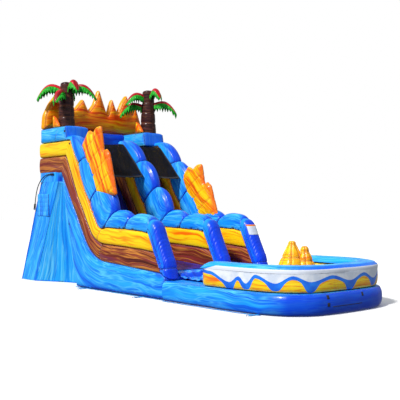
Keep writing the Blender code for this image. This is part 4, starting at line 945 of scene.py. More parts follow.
def edge_distance(places, outline, lengths):
    """Distance of each place to a closed outline, and the length along it there."""
    run = np.roll(outline, -1, 0) - outline
    square = np.maximum((run ** 2).sum(1), 1e-12)
    best = np.full(len(places), FAR)
    along = np.zeros(len(places))
    for part in blocks(len(places)):
        offset = places[part][:, None, :] - outline[None, :, :]
        share = np.clip((offset * run[None]).sum(2) / square[None], 0, 1)
        distance = np.sqrt(((offset - run[None] * share[:, :, None]) ** 2).sum(2))
        index = distance.argmin(1)
        rows = np.arange(len(index))
        best[part] = distance[rows, index]
        along[part] = lengths[index] + share[rows, index] * np.sqrt(square[index])
    return best, along


def inside_outline(places, outline):
    """Whether each place lies inside a closed outline."""
    x, y = places[:, 0][:, None], places[:, 1][:, None]
    x0, y0 = outline[:, 0][None], outline[:, 1][None]
    x1, y1 = np.roll(outline[:, 0], -1)[None], np.roll(outline[:, 1], -1)[None]
    crosses = (y0 > y) != (y1 > y)
    rise = np.where(np.abs(y1 - y0) < 1e-12, 1e-12, y1 - y0)
    hits = crosses & (x < (x1 - x0) * (y - y0) / rise + x0)
    return hits.sum(1) % 2 == 1


def fill_outline(outline, step):
    """Triangles over a closed outline, with a grid of points inside."""
    low = outline.min(0)
    high = outline.max(0)
    xs = np.arange(low[0] + step / 2, high[0], step)
    ys = np.arange(low[1] + step / 2, high[1], step * 0.87)
    grid_x, grid_y = np.meshgrid(xs, ys)
    grid_x = grid_x + (np.arange(len(ys)) % 2)[:, None] * step / 2
    places = np.stack([grid_x.ravel(), grid_y.ravel()], 1)
    places = places[inside_outline(places, outline)]
    distance, _ = edge_distance(places, outline, np.zeros(len(outline)))
    places = places[distance > step * 0.6]
    every = [Vector(point) for point in np.concatenate([outline, places])]
    made = delaunay_2d_cdt(every, [], [list(range(len(outline)))], 1, 1e-7)
    return np.array([(point.x, point.y) for point in made[0]]), [tuple(face) for face in made[2]]


def with_seam(seam_of, points, reach, seam_place, seed, depth):
    """Folds at one more seam, and the distance and place to the nearer of it and the given one."""
    if seam_of is None:
        return 0.0, reach, seam_place
    extra, extra_place = (values.reshape(reach.shape) for values in seam_of(points.reshape(-1, 3)))
    folds = pucker(extra_place, extra, seed, depth)
    return folds, np.minimum(reach, extra), np.where(extra < reach, extra_place, seam_place)


def slanted_flow(angle):
    """Print that runs at an angle over a flat side."""
    return lambda x, y: (
        x * math.cos(angle) + y * math.sin(angle),
        -x * math.sin(angle) + y * math.cos(angle),
    )


def pillow_skin(skin, outline, low, high, place, seed, rounding, crown, rim_crown,
                flow_of=slanted_flow(0.0), step=STEP, smoothing=3, reach=0.16,
                depth=PUCKER_DEPTH, seam_of=None):
    """Chamber with two flat sides: both are crowned, and the rim between them swells.

    place turns a point of the outline and a level into a point in space, and flow_of gives the
    print at points of the outline. seam_of gives the distance to one more seam, and the place
    along it, for points in space.
    """
    edge = dense_outline(outline, step, smoothing)
    normal = outline_normals(edge)
    edge = edge + normal * rounding * EDGE_DRAW
    flat, faces = fill_outline(edge, step)
    distance, along = edge_distance(flat, edge, loop_lengths(edge))
    lift = rounding * (1 - np.sqrt(1 - (1 - np.clip(distance / reach, 0, 1)) ** 2))
    swell = crown * (1 - np.exp(-distance / CROWN_REACH))
    u, v = flow_of(flat[:, 0], flat[:, 1])
    for side, level, sign in ((0, low, 1), (1, high, -1)):
        drawn = pucker(along, distance, seed + side * 3, depth)
        drawn += 0.004 * noise_plane(flat[:, 0] + 3, flat[:, 1] + 5, 0.35, 0.3, seed + side)
        level_points = np.array([place(point, level) for point in flat])
        folds, shown, shown_place = with_seam(seam_of, level_points, distance, along, seed + 41,
                                              depth)
        inward = lift * 0.5 - swell + np.where(distance < 1e-6, 0, drawn + folds)
        points = [place(point, depth_at) for point, depth_at in zip(flat, level + sign * inward)]
        flow = [[(u[i], v[i] + seed * SEED_SHIFT + side) for i in face] for face in faces]
        seam = [[(shown[i], shown_place[i]) for i in face] for face in faces]
        skin.add(points, faces, flow, seam)
    inset = rounding * 0.5
    rim_crown = rim_crown + rounding * EDGE_DRAW
    pillow_rim(skin, edge, normal, low + inset, high - inset, place, seed, rim_crown, step, depth,
               seam_of)


def pillow_rim(skin, edge, normal, low, high, place, seed, crown, step, depth, seam_of):
    """Swollen rim between the two flat sides of a chamber."""
    lengths = loop_lengths(edge)
    width = high - low
    count = max(5, int(round(width / step)))
    shares = np.linspace(0, 1, count + 1)
    reaches = np.minimum(shares, 1 - shares) * width
    rows = []
    for share, near in zip(shares, reaches):
        level = low + width * share
        out = crown * math.sqrt(max(0.0, 1 - (2 * share - 1) ** 2))
        drawn = pucker(lengths[:-1], np.full(len(edge), near), seed + 9, depth)
        points = np.array([place(point, level) for point in edge])
        drawn = drawn + with_seam(seam_of, points, lengths[:-1], lengths[:-1], seed + 43, depth)[0]
        moved = edge - normal * (out - drawn * (near > 1e-6))[:, None]
        rows.append([place(point, level) for point in moved])
    points = np.array(rows, float)
    shape = (count + 1, len(edge) + 1)
    flow_u = np.tile(lengths, (count + 1, 1))
    flow_v = np.broadcast_to((shares * width)[:, None], shape) + seed * SEED_SHIFT + 2
    reach = np.broadcast_to(reaches[:, None], shape)
    _, seam_d, seam_s = with_seam(seam_of, closed_grid(points), reach, flow_u, seed, depth)
    skin.grid(points, flow_u, flow_v, seam_d, seam_s, closed=True)


# Slide module, its walls and its palms


def direction(angle):
    """Side-view direction that leans forward from the upright by an angle."""
    return np.array([math.sin(angle), math.cos(angle)])


def bed_path():
    """Steep slope, bend and run of the bed in side view, from the deck to the front."""
    top = np.array([-SLOPE_TOP_BACK, DECK_HEIGHT])
    front = np.array([-RUN_FRONT_BACK, RUN_FRONT_HEIGHT])
    slope = np.array([math.cos(SLOPE_ANGLE), -math.sin(SLOPE_ANGLE)])
    run = np.array([math.cos(RUN_ANGLE), -math.sin(RUN_ANGLE)])
    offset = front - top
    crossing = slope[0] * run[1] - slope[1] * run[0]
    slope_length = (offset[0] * run[1] - offset[1] * run[0]) / crossing
    corner = top + slope * slope_length
    tangent = BED_BEND_RADIUS * math.tan((SLOPE_ANGLE - RUN_ANGLE) / 2)
    bend_end = corner + run * tangent
    return {
        "top": top,
        "slope": slope,
        "run": run,
        "slope_length": slope_length - tangent,
        "bend_length": BED_BEND_RADIUS * (SLOPE_ANGLE - RUN_ANGLE),
        "bend_centre": corner - slope * tangent + direction(SLOPE_ANGLE) * BED_BEND_RADIUS,
        "bend_end": bend_end,
        "run_length": float(np.linalg.norm(front - bend_end)),
    }


PATH = bed_path()
PATH_LENGTH = PATH["slope_length"] + PATH["bend_length"] + PATH["run_length"]


def bed_at(distance):
    """Place and normal angle of the bed at a distance from the top of the slope."""
    if distance <= PATH["slope_length"]:
        return PATH["top"] + PATH["slope"] * distance, SLOPE_ANGLE
    distance -= PATH["slope_length"]
    if distance <= PATH["bend_length"]:
        angle = SLOPE_ANGLE - distance / BED_BEND_RADIUS
        return PATH["bend_centre"] - direction(angle) * BED_BEND_RADIUS, angle
    distance -= PATH["bend_length"]
    return PATH["bend_end"] + PATH["run"] * distance, RUN_ANGLE


def bed_line(lift, count=150):
    """Side-view line at a height over the deck and the bed."""
    middle = SLOPE_ANGLE / 2
    points = [
        np.array([-SLOPE_TOP_BACK - DECK_LAP, DECK_HEIGHT + lift]),
        PATH["top"] + direction(middle) * lift / math.cos(middle),
    ]
    for share in np.linspace(0.02, 1.0, count):
        place, angle = bed_at(share * PATH_LENGTH)
        points.append(place + direction(angle) * lift)
    return points


def wall_stations(with_deck, dense=False):
    """Seat, normal angle, brown height and yellow top at every station of a side wall."""
    both = BROWN_BAND + YELLOW_BAND
    top = PATH["top"]
    stations = [(top, MIDDLE_WALL_START_ANGLE, BROWN_BAND, both)]
    if with_deck:
        mitre = SLOPE_ANGLE / 2
        widening = 1 / math.cos(mitre)
        stations = [
            (np.array([-TOWER_REAR_BACK, DECK_HEIGHT]), 0.0, BROWN_BAND, both),
            (top, mitre, BROWN_BAND * widening, both * widening),
        ]
    marks, browns, tops = np.array(BAND_SHARES).T
    shares = marks
    if dense:
        extra = np.arange(marks[0], marks[-1], STEP / PATH_LENGTH)
        shares = np.array(sorted(set(extra) | {marks[-1]}))
    for share in shares:
        place, angle = bed_at(share * PATH_LENGTH)
        brown = np.interp(share, marks, browns) * BROWN_BAND
        stations.append((place, angle, brown, np.interp(share, marks, tops) * both))
    stretch = 1 / math.cos(POST_LEAN)
    front = np.array([-RUN_FRONT_BACK, RUN_FRONT_HEIGHT])
    end = (front, -POST_LEAN, browns[-1] * BROWN_BAND * stretch, tops[-1] * both * stretch)
    return stations + [end]


def keep(obj, body, slot, *nodes):
    """Puts a piece under the body that carries it and hides the solids that it stands for. slot is
    not used.
    """
    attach(obj, body)
    if nodes:
        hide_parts(*nodes)
    return obj


def air_filled(made, finish, *nodes):
    """Puts an air chamber of the slide under the slide's body and hides the solids that it stands
    for.
    """
    keep(made, "slide", SLOTS[finish], *nodes)
    return made


def chamber(skin, piece, finish, *nodes):
    """Air chamber made from a skin."""
    return air_filled(skin.object(piece, FINISH[finish]), finish, *nodes)


def pillow(piece, finish, node, outline, low, high, place, seed, **form):
    """Air chamber with two flat sides between the levels low and high."""
    skin = Skin()
    pillow_skin(skin, outline, low, high, place, seed, **form)
    chamber(skin, piece, finish, node)


def across(point, depth):
    """Side-view point at a place across the slide."""
    return (point[0], depth, point[1])


def along_slide(point, depth):
    """Front-view point at a place along the slide."""
    return (depth, point[0], point[1])


def band_ring(seat, angle, low, high, left, right):
    """Section of one wall chamber in short steps, drawn in where it is seamed."""
    up = direction(angle)
    shares = np.linspace(0, 1, BAND_ROWS + 1)
    draws = SEAM_PINCH * np.abs(2 * shares - 1) ** 2.8
    levels = low + (high - low) * shares
    left_side = [across(seat + up * level, left + draw) for level, draw in zip(levels, draws)]
    right_side = [across(seat + up * level, right - draw) for level, draw in zip(levels, draws)]
    inner = np.linspace(left + SEAM_PINCH, right - SEAM_PINCH, 8)[1:-1]
    top = [across(seat + up * high, y) for y in inner]
    bottom = [across(seat + up * low, y) for y in inner[::-1]]
    return np.array(left_side + top + right_side[::-1] + bottom, float)


def wall_band(side, kind, with_deck, left, right, seed):
    """Brown or yellow chamber of a side wall."""
    rings = []
    for seat, angle, brown, top in wall_stations(with_deck, dense=True):
        low, high = (-BROWN_SINK, brown) if kind == "brown" else (brown + GAP, top)
        rings.append(band_ring(seat, angle, low, high, left, right))
    points = fill_rings(rings)
    columns = (0, BAND_ROWS, BAND_ROWS + 7, 2 * BAND_ROWS + 7)
    panel = int(len(points) * PANEL_SHARES[side])
    skin = Skin()
    loft_skin(skin, points, (panel,), columns, seed, dent=0.005, panels_and_painted_light=(panel,))
    name = "wall_" + side + "_" + kind
    chamber(skin, name + "_skin", kind, name)


def point_on_line(points, lengths, distance):
    """Place on a side-view line at a length along it."""
    return np.array([np.interp(distance, lengths, values) for values in np.array(points).T])


def arc_point(start, end, bulge_share, share):
    """Place on a hump that rises from a chord by a share of its length."""
    chord = end - start
    outward = np.array([-chord[1], chord[0]])
    rise = bulge_share * max(0.0, math.sin(math.pi * share)) ** 0.7
    return start + chord * share + outward * rise


def hump_anchors(seats, lengths, start_top, end_top):
    """Length, top and bulge where each hump of a tube starts, and where the last one ends."""
    total = lengths[-1]
    anchors = [(0.0, start_top, None)]
    for seat_share, lean_share, height_share, bulge_share in HUMP_SHARES:
        seat = point_on_line(seats, lengths, seat_share * total)
        valley = seat + direction(lean_share * SLOPE_ANGLE) * (height_share * TUBE_HEIGHT)
        anchors.append((seat_share * total, valley, bulge_share))
    return anchors + [(total, end_top, LAST_HUMP_SHARE)]


def tube_pairs(stations, start, start_top):
    """Seat, crest and fullness of every section of a humped tube, and the rows of its creases."""
    seats = [start] + [seat + direction(angle) * top for seat, angle, _, top in stations]
    lengths = line_lengths(seats)
    end_top = seats[-1] + np.array([0.0, TUBE_END_HEIGHT])
    anchors = hump_anchors(seats, lengths, start_top, end_top)
    humps = list(zip(anchors, anchors[1:]))
    pairs = []
    for number, (before, after) in enumerate(humps):
        last = number == len(humps) - 1
        for row in range(HUMP_ROWS):
            share = 0.5 - 0.5 * math.cos(math.pi * row / HUMP_ROWS)
            seat = point_on_line(seats, lengths, between(before[0], after[0], share))
            crest = arc_point(before[1], after[1], after[2], share)
            full = number == 0 and share < 0.5 or last and share > 0.5
            fullness = 1.0 if full else math.sin(math.pi * share) ** 0.5
            if last and share > 0.5:
                crest = crest + np.array([0.0, TUBE_END_LIFT * eased(2 * share - 1)])
            pairs.append((seat, crest, fullness))
    pairs.append((seats[-1], end_top + np.array([0.0, TUBE_END_LIFT]), 1.0))
    return pairs, [number * HUMP_ROWS for number in range(1, len(humps))]


def round_ring(seat, crest, left, right, draw):
    """Round-topped section on a flat seat, in short steps, with its flat side last."""
    up = crest - seat
    middle = (left + right) / 2
    half = (right - left) / 2 - draw
    ring = []
    for step in range(TUBE_COLUMNS + 1):
        angle = math.pi * step / TUBE_COLUMNS
        side = math.copysign(abs(math.cos(angle)) ** (2 / TUBE_ROUNDNESS), math.cos(angle))
        rise = max(0.0, math.sin(angle)) ** (2 / TUBE_ROUNDNESS)
        foot = SEAM_PINCH * 0.6 * (1 - rise) ** 6
        ring.append(across(seat + up * rise, middle + side * (half - foot)))
    ring += [across(seat, middle - half + 2 * half * share) for share in (0.25, 0.5, 0.75)]
    return np.array(ring, float)


def wall_tube(side, with_deck, left, right, seed):
    """Humped blue tube on a side wall."""
    stations = wall_stations(with_deck)
    if with_deck:
        start = np.array([-CAP_FRONT_BACK + 2 * GAP, WALL_TOP])
        angle = -math.atan(CAP_LEAN / CAP_HEIGHT)
    else:
        seat, angle, _, top = stations[0]
        start = seat + direction(angle) * top
    start_top = start + direction(angle) * TUBE_START_HEIGHT
    pairs, creases = tube_pairs(stations[1:], start, start_top)
    rings = [
        round_ring(seat, crest, left, right, CREASE_NARROWING * (1 - fullness))
        for seat, crest, fullness in pairs
    ]
    points, _ = inflate(np.array(rings), True, (), (CREST_COLUMN,), seed + 5, 0.012, 0.0,
                        reach=0.05)
    skin = Skin()
    loft_skin(skin, points, creases, (0, TUBE_COLUMNS), seed, dent=0.006, depth=0.026,
              swell=(0.0, 0.0), panels_and_painted_light=creases, seat_column=TUBE_COLUMNS, reach=0.12)
    name = "top_tube_" + side
    chamber(skin, name + "_skin", "blue", name)


def post_pairs():
    """Seat and crest of the front post's sections, from its shoulder to its foot."""
    seat, angle, _, top = wall_stations(False)[-1]
    down = -direction(angle)
    out = np.array([math.cos(POST_LEAN), math.sin(POST_LEAN)])
    head = seat + direction(angle) * top
    shoulder = head + np.array([GAP, 0.0]) + out * GAP
    pairs = [(shoulder, shoulder + np.array([0.0, TUBE_END_HEIGHT + TUBE_END_LIFT]))]
    for down_share, out_share, up_share in POST_SHOULDER_SHARES:
        lift = TUBE_END_LIFT * (1 - out_share)
        crest = np.array([out_share * POST_DEPTH, up_share * TUBE_END_HEIGHT + lift])
        pairs.append((shoulder + down * (down_share * top), shoulder + crest))
    for share in POST_LEVEL_SHARES:
        start = shoulder + down * (share * top)
        pairs.append((start, start + out * POST_DEPTH))
    nose = unit(np.array([RUN_FRONT_BACK, NOSE_HEIGHT - RUN_FRONT_HEIGHT]))
    lift = np.array([-nose[1], nose[0]]) * GAP
    foot = np.array([-RUN_FRONT_BACK, RUN_FRONT_HEIGHT]) + out * GAP + lift * 2
    return pairs + [(foot, foot + nose * POST_FOOT_REACH)]


def wall_post(side, left, right, seed):
    """Leaning front post: royal blue, with close puckers along both edges."""
    rings = smooth_rings([round_ring(a, b, left, right, 0.0) for a, b in post_pairs()], 7)
    points = fill_rings(rings, 0.022)
    fold_row = int(len(points) * POST_FOLD_SHARE)
    skin = Skin()
    loft_skin(skin, points, (fold_row,), (2, TUBE_COLUMNS - 2), seed, depth=POST_RIB,
              swell=(0.0, 0.02), spacing=POST_RIB_SPACING, reach=0.15)
    name = "front_post_" + side
    chamber(skin, name + "_skin", "post", name)


def slide_body():
    """Lower blue chamber with the leg, the base and the seat of both lanes."""
    top = [tuple(bed_at(share * PATH_LENGTH)[0]) for share in np.linspace(0.02, 0.98, 60)]
    outline = [tuple(PATH["top"]), *top] + [
        (-RUN_FRONT_BACK, RUN_FRONT_HEIGHT),
        (-GAP, NOSE_HEIGHT),
        (-GAP, 0.0),
        (-LEG_FOOT_BACK, 0.0),
        (-SLOPE_TOP_BACK, SLAB_UNDERSIDE),
    ]
    marks = np.linspace(0, 1, 400) * PATH_LENGTH
    course = np.array([bed_at(mark)[0] for mark in marks])

    def beside_bed(x, z):
        """Print that runs beside the bed: down the leg and then along the base."""
        offset = np.stack([x, z], 1)[:, None, :] - course[None]
        distance = np.linalg.norm(offset, axis=2)
        index = distance.argmin(1)
        return marks[index], distance[np.arange(len(x)), index]

    pillow("slide_body_skin", "blue", "slide_body", outline, -HALF_WIDTH, HALF_WIDTH, across, 3,
           rounding=0.085, crown=0.025, rim_crown=0.0, flow_of=beside_bed, smoothing=2, reach=0.26,
           depth=0.008)


def rear_line(height):
    """How far back the rear wall's outer side lies at a height."""
    return between(REAR_FOOT_BACK, TOWER_REAR_BACK, height / SLAB_UNDERSIDE)


def column_front(height):
    """How far back the rear wall's inner side lies at a height."""
    share = height / SLAB_UNDERSIDE
    return rear_line(height) - between(REAR_COLUMN_FOOT_DEPTH, REAR_COLUMN_HEAD_DEPTH, share)


def leg_rear(height):
    """How far back the leg's rear side lies at a height."""
    return between(LEG_FOOT_BACK, SLOPE_TOP_BACK, height / SLAB_UNDERSIDE)


def column_half(share):
    """Half the width of the rear column at a share of its depth, drawn in at both seams."""
    return HALF_WIDTH - SEAM_PINCH * abs(2 * share - 1) ** 3


def rear_ring(height):
    """Level section of the rear wall: its tubes, one side, its flat front and the other side."""
    back = -rear_line(height)
    front = -column_front(height)
    steps = REAR_TUBES * TUBE_STEPS
    ring = []
    for step in range(steps + 1):
        share = step / steps
        swell = abs(math.sin(math.pi * share * REAR_TUBES)) ** 0.6
        depth = back + REAR_TUBE_BULGE * (1 - swell)
        ring.append((depth, -HALF_WIDTH + BODY_WIDTH * share, height))
    corner = ring[-1][0]
    shares = [step / COLUMN_STEPS for step in range(1, COLUMN_STEPS + 1)]
    sides = [(between(corner, front, share), column_half(share), height) for share in shares]
    front_steps = range(1, steps)
    ring += sides
    ring += [(front, -HALF_WIDTH + BODY_WIDTH * (1 - step / steps), height) for step in front_steps]
    return ring + [(x, -y, z) for x, y, z in sides[::-1]]


def rear_wall():
    """Splayed rear wall of upright tubes."""
    rows = int(SLAB_UNDERSIDE / STEP)
    points = np.array([rear_ring((SLAB_UNDERSIDE - GAP) * row / rows) for row in range(rows + 1)])
    columns = range(TUBE_STEPS, REAR_TUBES * TUBE_STEPS, TUBE_STEPS)
    skin = Skin()
    loft_skin(skin, points, (), columns, 17, swell=(0.0, 0.0), depth=0.012)
    chamber(skin, "rear_wall_skin", "blue", "rear_wall")


def curtain_depth(share, run):
    """How far out the plain side between column and leg lies: share is up, run is forward."""
    recess = between(CURTAIN_FOOT_RECESS, CURTAIN_TOP_RECESS, share)
    flush = (SIDE_ROUNDING - SEAM_PINCH) * (1 - run) ** 6
    return HALF_WIDTH - SIDE_ROUNDING - recess * math.sin(math.pi / 2 * run) + flush


def side_curtain(name, side, seed):
    """Loose sheet between rear column and leg, with folds that fan out towards the ground."""
    grid = np.zeros((CURTAIN_ROWS + 1, CURTAIN_COLUMNS + 1, 3))
    for row in range(CURTAIN_ROWS + 1):
        share = row / CURTAIN_ROWS
        height = (SLAB_UNDERSIDE - GAP) * share
        start = -column_front(height) + GAP
        end = -leg_rear(height) - GAP
        for step in range(CURTAIN_COLUMNS + 1):
            run = step / CURTAIN_COLUMNS
            fold = CURTAIN_FOLD * (1 - share) * math.sin(math.pi * run * CURTAIN_FOLDS) ** 2
            small = sum(
                weight * math.sin(2 * math.pi * run * waves + slant * share + shift * seed)
                for weight, waves, slant, shift in CURTAIN_RIPPLES
            )
            small *= 0.009 * (1 - share) ** 0.5 * math.sin(math.pi * run) ** 0.5
            depth = curtain_depth(share, run) + fold + small - CURTAIN_THICKNESS
            grid[row, step] = (between(start, end, run), side * depth, height)
    along = running_length(grid, 0)
    spread = np.linspace(0, CURTAIN_PRINT_WIDTH, CURTAIN_COLUMNS + 1)
    spread = np.tile(spread, (CURTAIN_ROWS + 1, 1))
    skin = Skin()
    skin.grid(grid, along, spread + seed, np.full(along.shape, NO_SEAM), along)
    made = skin.object(name + "_cloth", FINISH["curtain"], thickness=CURTAIN_THICKNESS)
    keep(made, "slide", "blue_vinyl", name)


def platform():
    """Floor of the platform. Its sides run down into the column and the curtains below."""
    rows = int(DECK_DEPTH / STEP)
    spans = np.linspace(-1, 1, PLATFORM_COLUMNS + 1)[1:-1]
    front = column_front(SLAB_UNDERSIDE)
    rings = []
    for row in range(rows + 1):
        x = -TOWER_REAR_BACK + (DECK_DEPTH - GAP) * row / rows
        column = column_half(min(1.0, (x + TOWER_REAR_BACK) / REAR_COLUMN_HEAD_DEPTH))
        run = (x + front) / (front - SLOPE_TOP_BACK)
        foot = column if run < 0 else curtain_depth(1.0, min(run, 1.0))
        side = []
        for level in range(PLATFORM_LEVELS + 1):
            share = level / PLATFORM_LEVELS
            depth = between(column, foot, eased(1 - share))
            side.append((depth, SLAB_UNDERSIDE + DECK_SLAB * share))
        near = [(x, -depth, z) for depth, z in side]
        far = [(x, depth, z) for depth, z in side[::-1]]
        top = [(x, side[-1][0] * span, DECK_HEIGHT) for span in spans]
        bottom = [(x, -side[0][0] * span, SLAB_UNDERSIDE) for span in spans]
        rings.append(near + top + far + bottom)
    points = np.array(rings, float)
    skin = Skin()
    skin.plain_grid(points, turned=True, closed=True)
    cap_ends(skin, points, 21, (0.0, 0.0))
    chamber(skin, "platform_skin", "blue", "platform_floor")


def tower_walls():
    """Rear guard wall of the platform and the flame-shaped wall on it."""
    low_half = INNER_RIGHT - GAP
    high_half = HALF_WIDTH - CAP_WIDTH - GAP
    right = [
        (low_half, DECK_HEIGHT + GAP),
        (low_half, WALL_TOP),
        (high_half, WALL_TOP),
        (high_half, CAP_TOP),
    ]
    guard = [(-low_half, DECK_HEIGHT + GAP)] + right + [(-y, z) for y, z in right[:0:-1]]
    pillow("guard_skin", "royal", "rear_guard_wall", guard, -TOWER_REAR_BACK, GUARD_FRONT,
           along_slide, 23, rounding=0.04, crown=0.02, rim_crown=0.0, smoothing=1)
    flames = [(HALF_WIDTH * y, CAP_TOP + GAP + FLAME_HEIGHT * z) for y, z in FLAME_SHARES]
    pillow("flame_skin", "orange", "flame_wall", flames, -TOWER_REAR_BACK,
           -TOWER_REAR_BACK + FLAME_DEPTH, along_slide, 25, rounding=0.095, crown=0.03,
           rim_crown=0.02, smoothing=4, step=0.028, depth=0.008, reach=0.2)


def side_cap(name, side, seed):
    """Azure chamber that carries a palm, with a slanting seam across its front."""
    outline = (
        (-TOWER_REAR_BACK, WALL_TOP + GAP),
        (-CAP_FRONT_BACK, WALL_TOP + GAP),
        (-CAP_FRONT_BACK - CAP_LEAN, CAP_TOP),
        (-TOWER_REAR_BACK, CAP_TOP),
    )
    low, high = sorted((side * HALF_WIDTH, side * (HALF_WIDTH - CAP_WIDTH)))
    corner = np.array([-CAP_FRONT_BACK - CAP_SEAM_SETBACK, low, CAP_TOP])

    def cap_seam(points):
        """Distance to the slanting seam, and the place along it."""
        offset = points - corner
        return np.abs(offset @ unit(np.array(CAP_SEAM_NORMAL))), offset[:, 2] + offset[:, 1]

    pillow(name + "_skin", "azure", name, outline, low, high, across, seed, rounding=CAP_ROUNDING,
           crown=0.015, rim_crown=0.012, depth=0.018, seam_of=cap_seam)


def quilt_seams(points):
    """Distance to the nearest line of a stitched diamond pattern, and the place along it."""
    best = np.full(len(points), FAR)
    place = np.zeros(len(points))
    for slant in QUILT_SLANTS:
        run = points[:, 0] * math.sin(slant) + points[:, 2] * math.cos(slant)
        near = np.abs(run / QUILT_SPACING - np.round(run / QUILT_SPACING)) * QUILT_SPACING
        side = points[:, 0] * math.cos(slant) - points[:, 2] * math.sin(slant)
        place = np.where(near < best, side, place)
        best = np.minimum(best, near)
    return best, place


def crag(name, sizes, left, slant, seed):
    """Quilted rock crag on an outer wall."""
    distance, rise, height = sizes
    foot = PATH["top"] + PATH["slope"] * distance + direction(SLOPE_ANGLE) * rise
    outline = [
        (foot[0] - CRAG_LENGTH * (1 - x_share), foot[1] + height * z_share)
        for x_share, z_share in CRAG_SHARES
    ]
    low = left + CRAG_EDGE_DISTANCE
    pillow(name + "_skin", "rock", name, outline, low, low + CRAG_THICKNESS, across, seed,
           rounding=0.08, crown=0.035, rim_crown=0.02, flow_of=slanted_flow(math.radians(slant)),
           seam_of=quilt_seams, smoothing=4, step=0.026, depth=0.007)


def trunk_radius(height):
    """Radius of a palm's trunk at a height below its round top."""
    return between(TRUNK_FOOT_RADIUS, TRUNK_HEAD_RADIUS, height / TRUNK_STRAIGHT)


def palm_trunk(side, x, y, seed):
    """Trunk of a palm, drawn in at bands and with a round top."""
    profile = []
    for row in range(TRUNK_ROWS + 1):
        share = row / TRUNK_ROWS
        swell = abs(math.sin(math.pi * share * TRUNK_BANDS)) ** 0.5
        height = TRUNK_STRAIGHT * share
        profile.append((height, trunk_radius(height) * (TRUNK_DRAW + (1 - TRUNK_DRAW) * swell)))
    for step in range(1, 9):
        angle = math.pi / 2 * step / 9
        height = TRUNK_STRAIGHT + TRUNK_DOME * math.sin(angle)
        profile.append((height, TRUNK_HEAD_RADIUS * TRUNK_DRAW * math.cos(angle)))
    turns = 2 * math.pi * np.arange(TRUNK_SIDES) / TRUNK_SIDES
    points = np.array([
        np.stack([radius * np.cos(turns), radius * np.sin(turns), np.full(TRUNK_SIDES, height)], 1)
        for height, radius in profile
    ])
    points = points + np.array([x, y, CAP_TOP + GAP])
    bands = [TRUNK_ROWS // TRUNK_BANDS * number for number in range(1, TRUNK_BANDS)]
    skin = Skin()
    loft_skin(skin, points, bands, (0, TRUNK_SIDES // 2), seed, swell=(0.0, 0.003), turn=True,
              depth=0.006, dent=0.003)
    name = "palm_trunk_" + side
    chamber(skin, name + "_skin", "bark", name)


def frond_section(share, reach, foot_radius):
    """Thickness of a frond's rib, half the widths of rib and leaf, and the leaf's fullness."""
    fullness = math.sin(math.pi * min(1.0, 0.12 + 0.88 * share) ** 0.8) ** 0.6
    if share > 0.5:
        fullness = max(fullness, 0.72 * math.sqrt(1 - share ** 6))
    rib = FROND_RIB * (1.05 - 0.35 * share ** 1.5) * (1 - 0.6 * share ** 8)
    wide = min(FROND_SPREAD * fullness, (foot_radius + reach * share) * FROND_WEDGE_SHARE)
    wide = max(wide, rib * 1.1)
    return rib, rib + (wide - rib) * 0.55, wide, fullness


def frond_fringe(share, side, fullness, seed):
    """How far a leaf hangs down, with its torn teeth."""
    phase = (share * FROND_TEETH + 0.23 * side) % 1.0
    tooth = 1 - abs(2 * phase - 1) ** 0.9
    uneven = 0.75 + 0.35 * float(noise_line(share * FROND_TEETH + side * 9, 1.0, seed))
    return FROND_SKIRT * 0.60 * fullness + FROND_TOOTH * tooth * uneven


def palm_frond(name, palm, steps, root_share, reach_share, rise_share, droop_share, seed):
    """Padded crimson rib over a green leaf whose two hanging sides end in a torn fringe."""
    angle = steps * FROND_STEP_ANGLE
    outward = np.array([math.cos(angle), math.sin(angle), 0.0])
    sideways = np.array([-math.sin(angle), math.cos(angle), 0.0])
    upward = np.array([0.0, 0.0, 1.0])
    root_height = root_share * TRUNK_STRAIGHT
    foot_radius = trunk_radius(root_height - FROND_RIB * 0.6)
    root = np.array([*palm, CAP_TOP + GAP + root_height]) + outward * (foot_radius - FROND_ROOT)
    reach = FROND_REACH * reach_share + FROND_ROOT
    rings = []
    sheets = {1: [], -1: []}
    for row in range(FROND_ROWS + 1):
        share = row / FROND_ROWS
        lift = reach * (rise_share * math.sin(math.pi * share) - droop_share * share ** FROND_FALL)
        centre = root + outward * (reach * share) + upward * lift
        rib, half, wide, fullness = frond_section(share, reach, foot_radius)
        ring = []
        for step in range(FROND_SIDES):
            turn = 2 * math.pi * step / FROND_SIDES
            rise = rib * math.sin(turn) - 0.45 * rib * abs(math.cos(turn)) ** 2
            ring.append(centre + sideways * (half * math.cos(turn)) + upward * rise)
        rings.append(ring)
        for side, sheet in sheets.items():
            length = frond_fringe(share, side, fullness, seed)
            column = []
            for fall in np.linspace(0, 1, 10):
                out = between(half * 0.92, wide, math.sin(fall * math.pi / 2))
                out += 0.010 * math.sin(share * 47 + side + seed) * fall
                drop = between(rib * 0.45, length, fall)
                column.append(centre + sideways * side * out - upward * drop)
            sheet.append(column)
    skin = Skin()
    loft_skin(skin, np.array(rings), (), (), seed, depth=0.0, swell=(0.0, 0.02), dent=0.003)
    chamber(skin, name + "_rib", "crimson", name)
    for letter, sheet in zip("ab", sheets.values()):
        grid = np.array(sheet)
        leaf = Skin()
        leaf.plain_grid(grid, turned=True, shift=seed)
        made = leaf.object(name + "_leaf_" + letter, FINISH["green"], thickness=0.012)
        keep(made, "slide", "leaf_vinyl")


def palm(side, x, y, fronds, seed):
    """Palm with its trunk, its fronds and a small rock at its root."""
    palm_trunk(side, x, y, seed)
    for number, shares in enumerate(fronds, start=1):
        palm_frond("palm_frond_" + side + "_" + str(number), (x, y), *shares, seed + number)
    near = y - trunk_radius(SEAM_PINCH) - GAP - ROOT_ROCK_DEPTH
    outline = [
        (x + ROOT_ROCK_LENGTH * (0.5 - back), CAP_TOP + GAP + ROOT_ROCK_HEIGHT * up)
        for back, up in ROOT_ROCK_SHARES
    ]
    name = "palm_rock_" + side
    pillow(name + "_skin", "rock", name, outline, near, near + ROOT_ROCK_DEPTH, across, seed + 7,
           rounding=0.05, crown=0.012, rim_crown=0.006, flow_of=slanted_flow(1.2), step=0.02,
           reach=0.09, depth=0.005, smoothing=6)


